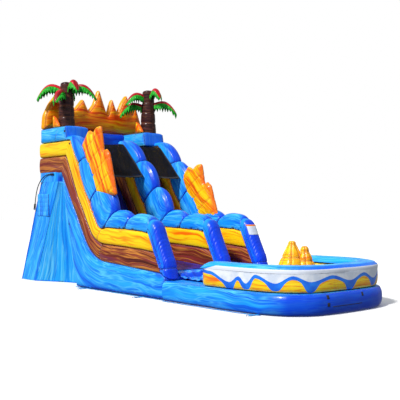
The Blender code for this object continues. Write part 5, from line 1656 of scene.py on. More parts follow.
# Lanes, nets, pool and fittings


def lane_sheet(name, line, left, right, node, seed, wrinkle):
    """Bed liner that follows a side-view line across a lane, wrinkled away from its edges."""
    shares = np.linspace(0, 1, LANE_COLUMNS + 1)
    rows = [[across(point, between(left, right, share)) for share in shares] for point in line]
    grid = fill_rings(np.array(rows, float))
    along = running_length(grid, 0)
    around = running_length(grid, 1)
    normal = mesh_normals(grid, False)
    if normal[:, :, 2].sum() < 0:
        normal = -normal
    edge = np.minimum(around, around[:, -1:] - around)
    total = along[-1].max()
    ends = np.minimum(along, total - along)
    loose = np.clip(edge / 0.2, 0, 1) * np.clip(ends / 0.15, 0, 1)
    waves = noise_plane(along, around, 0.33, 0.12, seed)
    waves = waves + 0.5 * noise_plane(along, around, 0.11, 0.07, seed + 1)
    grid = grid + normal * (loose * wrinkle * (waves - 0.3))[:, :, None]
    skin = Skin()
    skin.grid(grid, along, around + seed * 0.3, edge, along)
    made = keep(skin.object(name, FINISH["bed"], thickness=0.006), "slide", "bed_liner", node)


def lanes():
    """Beds of both lanes and the nets over them."""
    lane_sheet("slide_bed_skin", bed_line(LINER), *SLIDE_EDGES, "slide_bed", 41, 0.008)
    climb_bed()
    high = WALL_TOP - GAP - CANOPY_THICKNESS / 2
    split = SLOPE_TOP_BACK - CANOPY_SPLIT_REACH
    roof = [(GUARD_FRONT + GAP, high), (-split - GAP, high)]
    slope = [
        (-split, high),
        (CANOPY_BREAK_REACH - SLOPE_TOP_BACK, high),
        (CANOPY_FRONT_REACH - SLOPE_TOP_BACK, WALL_TOP - CANOPY_DROP),
    ]
    canopy("canopy_roof", roof, SLIDE_EDGES[0], CLIMB_EDGES[1], 0.05, 45)
    canopy("canopy_left", slope, *SLIDE_EDGES, 0.05, 47)
    canopy("canopy_right", slope, *CLIMB_EDGES, 0.04, 49)


def canopy(name, corners, left, right, sag, seed):
    """Net stretched over a lane: it sags between its sides, and its edges are bound in webbing."""
    line = soft_line(corners)
    columns = max(24, int((right - left) / STEP))
    shares = np.linspace(0, 1, columns + 1)
    grid = np.zeros((len(line), columns + 1, 3))
    total = len(line) - 1
    for row, point in enumerate(line):
        free = math.sin(math.pi * min(1.0, 0.25 + row / total * 0.75)) ** 0.5
        ripple = 0.006 * np.sin(2 * math.pi * (shares * 7 + row / total * 2 + seed))
        drop = sag * np.sin(math.pi * shares) * (0.5 + 0.5 * free) - ripple * free
        grid[row, :, 0] = point[0]
        grid[row, :, 1] = between(left, right, shares)
        grid[row, :, 2] = point[1] - drop
    skin = Skin()
    skin.plain_grid(grid)
    net = skin.object(name + "_net", FINISH["net"], thickness=0.003)
    keep(net, "slide", "black_net", name)
    along = running_length(grid, 0)
    around = running_length(grid, 1)
    plain = np.full(along.shape, NO_SEAM)
    for place, part in CANOPY_BINDINGS.items():
        skin = Skin()
        strip = grid[part] + np.array([0.0, 0.0, 0.005])
        skin.grid(strip, around[part], along[part], plain[part], along[part])
        made = skin.object(name + "_binding_" + place, FINISH["webbing"], thickness=0.004)
        keep(made, "slide", "black_net")


def climb_line():
    """Side-view line of the climbing bed's upper side, with a round step every stride."""
    stride = (PATH["slope_length"] + PATH["bend_length"] * 0.5) / CLIMB_STEPS
    corner = SLOPE_ANGLE / 2
    deck = np.array([-SLOPE_TOP_BACK - DECK_LAP, DECK_HEIGHT + 2 * GAP + CLIMB_BED])
    edge = PATH["top"] + direction(corner) * (CLIMB_BED + 2 * GAP) / math.cos(corner)
    line = [deck, edge]
    for share in np.linspace(0.02, 1.0, CLIMB_ROWS):
        distance = share * PATH_LENGTH
        place, angle = bed_at(distance)
        rise = CLIMB_BED
        for number in range(CLIMB_STEPS):
            offset = (distance - stride * (number + 0.62)) / CLIMB_STEP_LENGTH + 0.5
            if 0 < offset < 1:
                rise += CLIMB_STEP_HEIGHT * math.sin(math.pi * offset) ** 0.8
        line.append(place + direction(angle) * rise)
    return line


def climb_bed():
    """Padded ladder with round steps and round shoulders."""
    left, right = CLIMB_EDGES
    shares = [step / CLIMB_COLUMNS for step in range(CLIMB_COLUMNS + 1)]
    rings = []
    for low, high in zip(bed_line(2 * GAP, CLIMB_ROWS), climb_line()):
        ring = []
        for share in shares:
            height_share = 1 - 0.5 * abs(2 * share - 1) ** 8
            ring.append(across(between(low, high, height_share), between(left, right, share)))
        rings.append(ring + [across(low, between(right, left, share)) for share in shares])
    skin = Skin()
    loft_skin(skin, np.array(rings, float), (), (0, CLIMB_COLUMNS), 43, swell=(0.0, 0.0),
              depth=0.006, dent=0.003)
    made = keep(skin.object("climb_bed_skin", FINISH["bed"]), "slide", "bed_liner", "climb_bed")


def flap_folds(along, around):
    """How far the landing flap's crumples lift it."""
    folds = np.zeros_like(along)
    for number, (turn, length, height) in enumerate(FLAP_FOLDS):
        angle = math.radians(turn)
        run = around * math.cos(angle) + along * math.sin(angle)
        side = along * math.cos(angle) - around * math.sin(angle)
        bent = run + 0.05 * noise_line(side, 0.25, 60 + number)
        ridge = 1 - np.abs(2 * ((bent / length) % 1.0) - 1)
        patch = 0.5 + 0.5 * noise_plane(run, side, 0.5, 0.3, 70 + number)
        folds += height * ridge ** 2 * patch
    free = np.clip(along / 0.18, 0, 1) * (0.25 + 0.75 * np.clip((along[-1] - along) / 0.1, 0, 1))
    return free * (folds + 0.004)


def landing_flap():
    """Loose sheet from the slide bed over the seam, crumpled where it lies on the pool's base."""
    left, right = SLIDE_EDGES
    start = -RUN_FRONT_BACK + math.sin(RUN_ANGLE) * (LINER + 2 * GAP) + GAP
    lift = FLAP_THICKNESS / 2
    corners = [
        (start, RUN_FRONT_HEIGHT + 2 * GAP + lift),
        (0.0, NOSE_HEIGHT + 2 * GAP + lift),
        (FLAP_KNEE, POOL_BASE_HEIGHT + FLAP_THICKNESS + GAP + lift),
        (FLAP_REACH, POOL_BASE_HEIGHT + GAP + lift),
    ]
    line = soft_line(corners, FLAP_STEP, 4)
    columns = int((right - left) / FLAP_STEP)
    ys = [left + (right - left) * step / columns for step in range(columns + 1)]
    grid = np.array([[across(point, y) for y in ys] for point in line])
    along = running_length(grid, 0)
    around = running_length(grid, 1)
    grid[:, :, 2] += flap_folds(along, around)
    skin = Skin()
    skin.grid(grid, around, along, np.minimum(around, around[:, -1:] - around), along)
    made = skin.object("landing_flap_cloth", FINISH["blue"], thickness=0.004)
    keep(made, "slide", "bed_liner", "landing_flap")
    for number, (first, last) in enumerate(np.array(FLAP_STRAPS), start=1):
        points = []
        for share in np.linspace(0, 1, FLAP_STRAP_STEPS):
            a, b = between(first, last, share)
            place = grid[int(round(a * (len(line) - 1))), int(round(b * columns))]
            points.append(place + np.array([0.0, 0.0, 0.008]))
        ribbon("landing_strap_" + str(number), smooth_points(points), 0.04, 0.003,
                             FINISH["azure"], "azure_vinyl")


def plan_point(angle, inset, half_length, half_width):
    """Place on the round end of the pool, drawn in by an inset."""
    cos_part = (abs(math.cos(angle)) / (half_length - inset)) ** POOL_SQUARENESS
    sin_part = (abs(math.sin(angle)) / (half_width - inset)) ** POOL_SQUARENESS
    reach = (cos_part + sin_part) ** (-1 / POOL_SQUARENESS)
    return (POOL_STRAIGHT + reach * math.cos(angle), reach * math.sin(angle))


def plan_line(inset, half_length, half_width, start, leg_steps, curve_steps=PLAN_STEPS):
    """Half-round plan line from the near side to the far side, in short steps."""
    side = half_width - inset
    run = POOL_STRAIGHT - start
    near = [(start + run * i / leg_steps, -side) for i in range(leg_steps)]
    turns = [-math.pi / 2 + math.pi * i / curve_steps for i in range(curve_steps + 1)]
    curve = [plan_point(turn, inset, half_length, half_width) for turn in turns]
    far = [(POOL_STRAIGHT - run * (i + 1) / leg_steps, side) for i in range(leg_steps)]
    return np.array(near + curve + far, float)


def plan_half_width(x):
    """Half the width of the pool's base at a place along it."""
    share = abs(x - POOL_STRAIGHT) / POOL_ROUND
    return POOL_HALF * (1 - share ** POOL_SQUARENESS) ** (1 / POOL_SQUARENESS)


def ring_line(inset, curve_steps=PLAN_STEPS):
    """Plan line of the pool's wall, drawn in by an inset."""
    sizes = (RING_HALF_LENGTH, RING_HALF_WIDTH, RING_START, RING_LEG_STEPS)
    return plan_line(inset, *sizes, curve_steps)


def pool_base():
    """Low chamber under the pool, with a swollen side."""
    rows = []
    for row in range(POOL_BASE_ROWS + 1):
        share = row / POOL_BASE_ROWS
        inset = POOL_BASE_ROUNDING * abs(2 * share - 1) ** EDGE_POWER
        line = plan_line(inset, POOL_ROUND, POOL_HALF, GAP, POOL_LEG_STEPS)
        back_y = np.linspace(line[-1][1], line[0][1], POOL_BACK_STEPS + 1)[1:-1]
        line = np.concatenate([line, np.stack([np.full(len(back_y), GAP), back_y], 1)])
        rows.append(np.column_stack([line, np.full(len(line), POOL_BASE_HEIGHT * share)]))
    shaped, fields = inflate(np.array(rows), True, (0, POOL_BASE_ROWS), (), 61, 0.010, 0.006)
    shaped[:, :, 2] = np.maximum(shaped[:, :, 2], 0.0)
    along, around, distance, place = fields
    skin = Skin()
    skin.grid(shaped, around, along + 0.7, distance, place, closed=True)
    for ring in (shaped[0], shaped[-1]):
        flat, faces = fill_outline(ring[:, :2], POOL_FILL_STEP)
        heights = {tuple(np.round(point[:2], 5)): point[2] for point in ring}
        middle = ring[:, 2].mean()
        levels = [heights.get(tuple(np.round(point, 5)), middle) for point in flat]
        skin.plain_faces(np.column_stack([flat, levels]), faces)
    chamber(skin, "pool_base_skin", "blue", "pool_base")


def drip_depths(share):
    """How far down the white and the blue reach, as shares of the wall's height.

    The white hangs in wide lobes, and the blue is a band below it with a narrow drop at each lobe.
    """
    table = np.array(DRIP_SHARES)
    index = np.clip(np.searchsorted(table[:, 0], share) - 1, 0, len(table) - 2)
    before = table[index]
    after = table[index + 1]
    part = eased(np.clip((share - before[:, 0]) / (after[:, 0] - before[:, 0]), 0, 1))
    white = before[:, 1] * (1 - part) + after[:, 1] * part
    blue = white + DRIP_BAND
    for place, _, lowest in table[table[:, 2] > table[:, 1] + DRIP_BAND + 0.01]:
        bell = np.exp(-((np.abs(share - place) / DRIP_HALF_WIDTH) ** 3))
        blue = np.maximum(blue, blue + (lowest - blue) * bell)
    return white, blue


def wall_side(insets):
    """Lines round the pool's wall from its foot to its top, each with its own inset."""
    lines = []
    for share, inset in zip(np.linspace(0, 1, POOL_WALL_ROWS + 1), insets):
        line = ring_line(inset, DRIP_STEPS)
        level = POOL_BASE_HEIGHT + GAP + (RING_WALL_HEIGHT - GAP) * share
        lines.append(np.column_stack([line, np.full(len(line), level)]))
    return lines


def pool_wall():
    """Wall of the ring: the drip pattern outside and marbled yellow inside, with narrow ends."""
    shares = np.linspace(0, 1, POOL_WALL_ROWS + 1)
    outer = wall_side(RING_BULGE * np.maximum(0.0, 1 - 2 * shares) ** EDGE_POWER)
    bulge = RING_BULGE * np.abs(2 * shares - 1) ** EDGE_POWER
    inner = wall_side(RING_WALL_THICKNESS - bulge)[::-1]
    top = [between(outer[-1], inner[0], share) for share in (0.25, 0.5, 0.75)]
    bottom = [between(inner[-1], outer[0], share) for share in (0.25, 0.5, 0.75)]
    rings = np.array(outer + top + inner + bottom).transpose(1, 0, 2)
    for index in range(RING_LEG_STEPS // 2):
        part = 1 - 2 * index / RING_LEG_STEPS
        narrow = 1 - WALL_END_NARROWING * (1 - math.sqrt(1 - part * part))
        for end in (index, -1 - index):
            middle = rings[end].mean(axis=0)[:2]
            rings[end, :, :2] = middle + (rings[end, :, :2] - middle) * narrow
    seams = (0, POOL_WALL_ROWS + 4, 2 * POOL_WALL_ROWS + 4)
    shaped, fields = inflate(rings, True, (), seams, 71, 0.013, 0.005)
    skin = Skin()
    skin.grid(shaped, *fields, closed=True)
    cap_ends(skin, shaped, 73, (0.06, 0.06))
    made = chamber(skin, "pool_wall_skin", "drip", "pool_wall")
    paint_drips(made.data)


def paint_drips(mesh):
    """Adds the Drip map: how far each corner lies above the white and the blue lines."""
    drip = mesh.uv_layers.new(name="Drip")
    line = ring_line(0.0, DRIP_STEPS)
    steps = np.concatenate([[0], np.cumsum(np.linalg.norm(np.diff(line, axis=0), axis=1))])
    count = len(mesh.vertices)
    places = np.empty(count * 3)
    mesh.vertices.foreach_get("co", places)
    places = places.reshape(-1, 3) - np.array([SEAM_X, 0.0, 0.0])
    above = np.zeros((count, 2))
    for part in blocks(count):
        distance = np.linalg.norm(places[part][:, None, :2] - line[None], axis=2)
        share = steps[distance.argmin(1)] / steps[-1]
        height = (places[part][:, 2] - POOL_BASE_HEIGHT) / RING_WALL_HEIGHT
        depths = np.stack(drip_depths(share), 1)
        inside = distance.min(1) > RING_WALL_THICKNESS * 0.55
        above[part] = np.where(inside[:, None], -1.0, height[:, None] - 1 + depths)
    corners = np.empty(len(mesh.loops), int)
    mesh.loops.foreach_get("vertex_index", corners)
    drip.uv.foreach_set("vector", above[corners].astype(np.float32).ravel())


def pool_rim():
    """Pale blue rim on the pool's wall, lower and rounder at its two ends."""
    overhang = (RIM_WIDTH - RING_WALL_THICKNESS) / 2
    heights = np.ones(len(ring_line(0.0)))
    rises = np.interp(np.arange(RING_LEG_STEPS + 1) / RING_LEG_STEPS, *np.array(RIM_END_SHARES).T)
    heights[: len(rises)] = rises
    heights[-len(rises) :] = rises[::-1]
    rings = []
    for step in range(RIM_STEPS + 1):
        angle = math.pi * step / RIM_STEPS
        side = math.copysign(abs(math.cos(angle)) ** RIM_POWER, math.cos(angle))
        over = overhang * min(1.0, step / 5)
        inset = RING_WALL_THICKNESS / 2 - side * (RING_WALL_THICKNESS / 2 + over)
        rise = max(0.0, math.sin(angle)) ** RIM_POWER
        level = RING_TOP + GAP + (RIM_HEIGHT - GAP) * rise * heights
        rings.append(np.column_stack([ring_line(inset), level]))
    rings += [between(rings[-1], rings[0], share) for share in (0.25, 0.5, 0.75)]
    points = np.array(rings).transpose(1, 0, 2)
    points, _ = inflate(points, True, (), (5, 13), RIM_SEED + 4, 0.016, 0.0, spacing=0.12)
    skin = Skin()
    loft_skin(skin, points, (), (RIM_STEPS,), RIM_SEED, depth=0.018, swell=(0.03, 0.03), dent=0.006)
    chamber(skin, "pool_rim_skin", "rim", "pool_rim")


def pool_floor():
    """Liner that lies on the pool's base inside its wall."""
    inset = RING_WALL_THICKNESS + LINER_CLEARANCE
    edge = plan_line(inset, RING_HALF_LENGTH, RING_HALF_WIDTH, RING_START, 10)
    back = np.linspace(edge[-1][1], edge[0][1], 60)[1:-1]
    edge = np.concatenate([edge, np.column_stack([np.full(len(back), RING_START), back])])
    flat, faces = fill_outline(edge, 0.05)
    waves = noise_plane(flat[:, 0], flat[:, 1], 0.3, 0.22, 85) * 0.003
    level = POOL_BASE_HEIGHT + GAP + LINER_SKIN / 2
    skin = Skin()
    skin.plain_faces(np.column_stack([flat, level + waves]), faces)
    made = skin.object("pool_floor_cloth", FINISH["royal"], thickness=0.006)
    keep(made, "slide", "royal_blue_vinyl", "pool_liner")
    size = edge.max(axis=0) - edge.min(axis=0)
    flat = flat_size(size[1], size[0])


def cone_points(sizes, dome):
    """Quilted cone with upright lobes, whose top is round over its share dome of the height."""
    ahead, aside, height, radius, turn = sizes
    floor = POOL_BASE_HEIGHT + LINER_SKIN + 2 * GAP
    reaches, levels = np.array(CONE_PROFILE_SHARES).T
    points = np.zeros((CONE_ROWS + 1, CONE_COLUMNS, 3))
    angles = 2 * math.pi * np.arange(CONE_COLUMNS) / CONE_COLUMNS
    lobes = np.abs(np.sin(angles * CONE_SIDES / 4)) ** 0.6
    for row in range(CONE_ROWS + 1):
        share = row / CONE_ROWS
        swell = abs(math.sin(math.pi * row / CONE_LEVELS[0])) ** 0.7
        reach = np.interp(min(share, 1 - dome), levels, reaches) * radius
        reach *= math.sqrt(1 - max(0.0, (share - 1 + dome) / dome) ** 2) * (0.985 + 0.025 * swell)
        out = np.maximum(reach * (1 - CONE_LOBE * (1 - share) * (1 - lobes)), radius * CONE_TIP)
        points[row, :, 0] = POOL_STRAIGHT + ahead + out * np.cos(angles + turn)
        points[row, :, 1] = aside + out * np.sin(angles + turn)
        points[row, :, 2] = floor + height * CONE_RISE * share
    return points


def pool_rock():
    """Two-peaked quilted rock: two cones made one."""
    half = CONE_SIDES // 2
    columns = [CONE_COLUMNS // half * number for number in range(half)]
    cones = []
    for name, sizes, dome, seed in CONES:
        skin = Skin()
        loft_skin(skin, cone_points(sizes, dome), CONE_LEVELS, columns, seed, swell=(0.0, 0.018),
                  turn=True, depth=0.004, dent=0.003, reach=0.05)
        cones.append(skin.object(name, FINISH["yellow"]))
    made, other = cones
    join = made.modifiers.new("join", "BOOLEAN")
    join.operation = "UNION"
    join.object = other
    join.solver = "EXACT"
    apply_modifiers(made)
    bpy.data.objects.remove(other, do_unlink=True)
    air_filled(made, "yellow", "pool_rock")


def apply_modifiers(made):
    """Replaces the object's mesh by the one that its modifiers give."""
    graph = bpy.context.evaluated_depsgraph_get()
    mesh = bpy.data.meshes.new_from_object(made.evaluated_get(graph))
    made.modifiers.clear()
    made.data = mesh


def ribbon(name, points, width, thickness, finish, slot, side=None):
    """Flat strap through points, with its width along side, or level and across the points."""
    line = np.array(points, float)
    if side is None:
        side = np.cross(np.gradient(line, axis=0), (0.0, 0.0, 1.0))
        side /= np.linalg.norm(side, axis=1, keepdims=True)
    side = np.array(side, float)
    rows = [line + side * width * share for share in (-0.5, -0.25, 0.0, 0.25, 0.5)]
    skin = Skin()
    skin.plain_grid(np.array(rows).transpose(1, 0, 2))
    return keep(skin.object(name, finish, thickness=thickness), "slide", slot)


def anchors():
    """Webbing tab with a rolled eye at each ground anchor, and the steel ring in it."""
    pool_x = POOL_STRAIGHT + ANCHOR_POOL_DISTANCE
    edges = (
        (-(LEG_FOOT_BACK - ANCHOR_LEG_DISTANCE), HALF_WIDTH),
        (-ANCHOR_SEAM_DISTANCE, HALF_WIDTH),
        (pool_x, plan_half_width(pool_x)),
    )
    places = [(x, side, edge) for side in (-1, 1) for x, edge in edges]
    for number, place in enumerate(places, start=1):
        anchor_tab(number, *place)
        anchor_ring(number, *place)


def ring_course():
    """Middle line of an anchor's ring in its own plane: bar, corners, sides and bow."""
    half = ANCHOR_RING_WIDTH / 2
    corner = ANCHOR_RING_CORNER
    reach = ANCHOR_RING_LENGTH - half
    turns = np.linspace(-math.pi / 2, 0, 7)
    bow = np.linspace(0, math.pi / 2, 11)
    right = [(share * (half - corner), 0.0) for share in (0.0, 0.4, 0.8)]
    right += [(half - corner + corner * math.cos(a), corner + corner * math.sin(a)) for a in turns]
    right += [(half, between(corner, reach, share)) for share in (0.33, 0.67)]
    right += [(half * math.cos(a), reach + half * math.sin(a)) for a in bow]
    return np.array(right + [(-x, y) for x, y in right[-2::-1]])


def anchor_ring(number, x, side, edge):
    """Steel ring of an anchor, lying on the ground with its bar in the tab's eye."""
    rod = ANCHOR_RING_BAR / 2
    tilt = math.asin((ANCHOR_EYE_RADIUS - rod - GAP) / ANCHOR_RING_LENGTH)
    outward = np.array([0.0, side * math.cos(tilt), -math.sin(tilt)])
    lift = np.array([0.0, side * math.sin(tilt), math.cos(tilt)])
    eye = np.array([x, side * (edge + ANCHOR_TAB_LENGTH), ANCHOR_EYE_RADIUS])
    course = ring_course()
    steps = np.gradient(course, axis=0)
    steps[[0, -1]] = (1.0, 0.0)
    steps /= np.linalg.norm(steps, axis=1, keepdims=True)
    rows = []
    for (across_ring, away), (step_x, step_y) in zip(course, steps):
        row = []
        for corner in range(ANCHOR_RING_SIDES):
            angle = 2 * math.pi * corner / ANCHOR_RING_SIDES
            out = rod * math.cos(angle)
            place = eye + np.array([across_ring + step_y * out, 0.0, 0.0])
            row.append(place + outward * (away - step_x * out) + lift * (rod * math.sin(angle)))
        rows.append(row)
    skin = Skin()
    skin.plain_grid(np.array(rows), closed=True)
    name = "anchor_ring_" + str(number)
    keep(skin.object(name + "_rod", FINISH["steel"]), name, "steel", name)


def anchor_tab(number, x, side, edge):
    """Webbing tab of an anchor, flat on the ground and rolled to an eye at its end."""
    level = ANCHOR_TAB_THICKNESS / 2 + 0.001
    eye = edge + ANCHOR_TAB_LENGTH
    first = edge - 0.04
    last = eye - ANCHOR_EYE_RADIUS * 1.5
    line = [(x, side * (edge - 0.10), level)]
    line += [(x, side * between(first, last, share), level) for share in np.linspace(0, 1, 8)]
    radius = ANCHOR_EYE_RADIUS - 0.0035
    for angle in np.linspace(-math.pi * 0.75, math.pi, 15):
        line.append((x, side * (eye + radius * math.cos(angle)),
                     ANCHOR_EYE_RADIUS + radius * math.sin(angle)))
    name = "anchor_tab_" + str(number)
    ribbon(name, line, ANCHOR_TAB_WIDTH, 0.004, FINISH["blue_webbing"], "blue_vinyl", (1, 0, 0))


def patch_on(name, target, corner, first, second, count, finish, slot):
    """Thin patch laid on a skin: a grid from a corner along two directions, thrown on to it.

    It is thrown along the slide, or across it where the first direction runs along the slide.
    """
    runs_along = first[0] != 0
    corner, first, second = (np.array(values, float) for values in (corner, first, second))
    shares = np.linspace(0, 1, count)
    skin = Skin()
    skin.plain_grid(np.array([[corner + first * a + second * b for b in shares] for a in shares]))
    made = skin.object(name, FINISH[finish])
    wrap = made.modifiers.new("lay", "SHRINKWRAP")
    wrap.target = bpy.data.objects[target]
    wrap.wrap_method = "PROJECT"
    wrap.use_project_x = not runs_along
    wrap.use_project_y = runs_along
    wrap.use_negative_direction = True
    wrap.use_positive_direction = True
    wrap.project_limit = 0.5
    wrap.offset = 0.004
    thicken(made, 0.003)
    apply_modifiers(made)
    keep(made, "slide", slot)


def details():
    """Bare label, drain openings, ties and the hem along the ground."""
    strip = LABEL_HEIGHT * LABEL_STRIP_SHARE
    wide = (0.0, WALL_THICKNESS - 2 * LABEL_INSET, 0.0)
    start = INNER_RIGHT + LABEL_INSET
    patch_on("label", "front_post_right_skin", (LABEL_X, start, LABEL_Z), wide,
             (0.0, 0.0, LABEL_HEIGHT - strip), 16, "label_white", "royal_blue_vinyl")
    patch_on("label_strip", "front_post_right_skin",
             (LABEL_X, start, LABEL_Z + LABEL_HEIGHT - strip), wide, (0.0, 0.0, strip), 16,
             "label_orange", "royal_blue_vinyl")
    for number, (y, z, width, height) in enumerate(DRAINS, start=1):
        patch_on("drain_" + str(number), "pool_base_skin", (POOL_LENGTH + 0.2, y, z),
                 (0, width, 0), (0, 0, height), 5, "webbing", "blue_vinyl")
    for number, (target, x, z) in enumerate(TIES, start=1):
        patch_on("tie_" + str(number), target, (x, -HALF_WIDTH - 0.2, z),
                 (TIE_SIZE, 0, 0), (0, 0, TIE_SIZE * 1.4), 4, "webbing", "black_net")
    hem("hem_slide", slide_edge())
    pool_edge = plan_line(-HEM_WIDTH * 0.3, POOL_ROUND, POOL_HALF, 0.02, POOL_LEG_STEPS)
    hem("hem_pool", pool_edge[:HEM_STEPS])


def slide_edge():
    """Line on the ground along the near side: column, curtain and base."""
    line = []
    front = column_front(0.0)
    for x in np.arange(-REAR_FOOT_BACK, 0.0, 0.05):
        run = (x + front) / (front - LEG_FOOT_BACK)
        depth = curtain_depth(0.0, run) if 0 < run < 1 else HALF_WIDTH - SIDE_ROUNDING * 0.5
        line.append((x, -depth - HEM_WIDTH * 0.3))
    return np.array(line)


def hem(name, line):
    """Pale skirt of loose vinyl along the ground."""
    waves = 0.012 * noise_line(np.arange(len(line)), 2.0, 7)
    normal = outline_normals(line)
    normal[[0, -1]] = normal[[1, -2]]
    line = line + normal * waves[:, None]
    points = np.column_stack([line, np.full(len(line), 0.006)])
    ribbon(name, points, HEM_WIDTH, 0.003, FINISH["azure"], "azure_vinyl")


def deflation_flap():
    """Quilted flap that hangs over the deflation zip on the near side of the rear column."""
    top = SLAB_UNDERSIDE - ZIP_FLAP_DROP
    middle = top - ZIP_FLAP_HEIGHT / 2
    back = (rear_line(middle) + column_front(middle)) / 2
    hinge = np.array([-back, -HALF_WIDTH - GAP - ZIP_FLAP_THICKNESS / 2, top])
    outer = np.zeros((ZIP_FLAP_ROWS + 1, ZIP_FLAP_COLUMNS + 1, 3))
    inner = np.zeros_like(outer)
    for row in range(ZIP_FLAP_ROWS + 1):
        fall = row / ZIP_FLAP_ROWS
        quilt = abs(math.sin(math.pi * fall * ZIP_FLAP_QUILTS)) ** 0.6
        for column in range(ZIP_FLAP_COLUMNS + 1):
            share = column / ZIP_FLAP_COLUMNS
            x = ZIP_FLAP_WIDTH * (share - 0.5)
            soft = min(1.0, min(share, 1 - share, fall, 1 - fall) / 0.05) ** 0.5
            puff = ZIP_FLAP_QUILT_DEPTH * quilt * soft
            thick = ZIP_FLAP_THICKNESS / 2 * (0.35 + 0.65 * soft)
            outer[row, column] = hinge + np.array([x, -thick - puff, -ZIP_FLAP_HEIGHT * fall])
            inner[row, column] = hinge + np.array([x, thick, -ZIP_FLAP_HEIGHT * fall])
    skin = Skin()
    borders = []
    for grid in (outer, inner):
        skin.plain_grid(grid, edges=True)
        borders.append(np.concatenate([grid[0], grid[1:, -1], grid[-1, -2::-1], grid[-2:0:-1, 0]]))
    rim = np.array(borders)
    run = running_length(rim, 1, True)
    skin.grid(rim, run, np.full(run.shape, 0.01), np.full(run.shape, NO_SEAM), run, closed=True)
    made = skin.object("deflation_flap_pad", FINISH["blue"])
    keep(made, "deflation_flap", "blue_vinyl", "deflation_flap")


def inflation_sleeve():
    """Soft round tube at the back, sewn from one sheet."""
    rings = []
    for row in range(SLEEVE_ROWS + 1):
        share = row / SLEEVE_ROWS
        strength = 0.004 * math.sin(math.pi * min(1, share * 1.3))
        ring = []
        for column in range(SLEEVE_COLUMNS):
            angle = 2 * math.pi * column / SLEEVE_COLUMNS
            reach = SLEEVE_RADIUS - SLEEVE_WALL / 2 + strength * math.sin(9 * angle + 5 * share)
            y = SLEEVE_OFFSET_Y + reach * math.sin(angle)
            z = SLEEVE_RADIUS + reach * math.cos(angle)
            start = rear_line(z) + GAP - 0.02
            ring.append((-between(start, SLEEVE_END_BACK - 0.006, share), y, max(z, 0.0)))
        rings.append(ring)
    points = np.array(rings, float)
    skin = Skin()
    skin.grid(points, *seam_fields(points, True, (), (SLEEVE_COLUMNS // 2,)), closed=True)
    made = skin.object("inflation_sleeve_cloth", FINISH["blue"], thickness=SLEEVE_WALL * 0.7)
    keep(made, "slide", "blue_vinyl", "inflation_sleeve")


def hose():
    """Free hose from its sleeve to the valve, and the finishes of its fittings."""
    route = [Vector(point) + Vector((SEAM_X, 0.0, 0.0)) for point in HOSE_POINTS]
    curve = bpy.data.curves.new("hose_line", "CURVE")
    curve.dimensions = "3D"
    curve.bevel_depth = HOSE_DIAMETER / 2
    curve.bevel_resolution = 6
    curve.use_fill_caps = True
    spline = curve.splines.new("POLY")
    spline.points.add(HOSE_STEPS)
    places = []
    for step in range(HOSE_STEPS + 1):
        mark = step / HOSE_STEPS * (len(route) - 1)
        index = min(int(mark), len(route) - 2)
        places.append(curve_point(route, index, mark - index))
        spline.points[step].co = (*places[-1], 1.0)
    curve.materials.append(FINISH["rubber"])
    line = bpy.data.objects.new("hose_line", curve)
    bpy.context.scene.collection.objects.link(line)
    keep(line, "slide", "black_rubber", "water_hose")
    nodes = frame["nodes"]
    for name, finish in HOSE_FITTINGS.items():
        nodes[name].data.materials.clear()
        nodes[name].data.materials.append(FINISH[finish])


# Finishes, light and camera


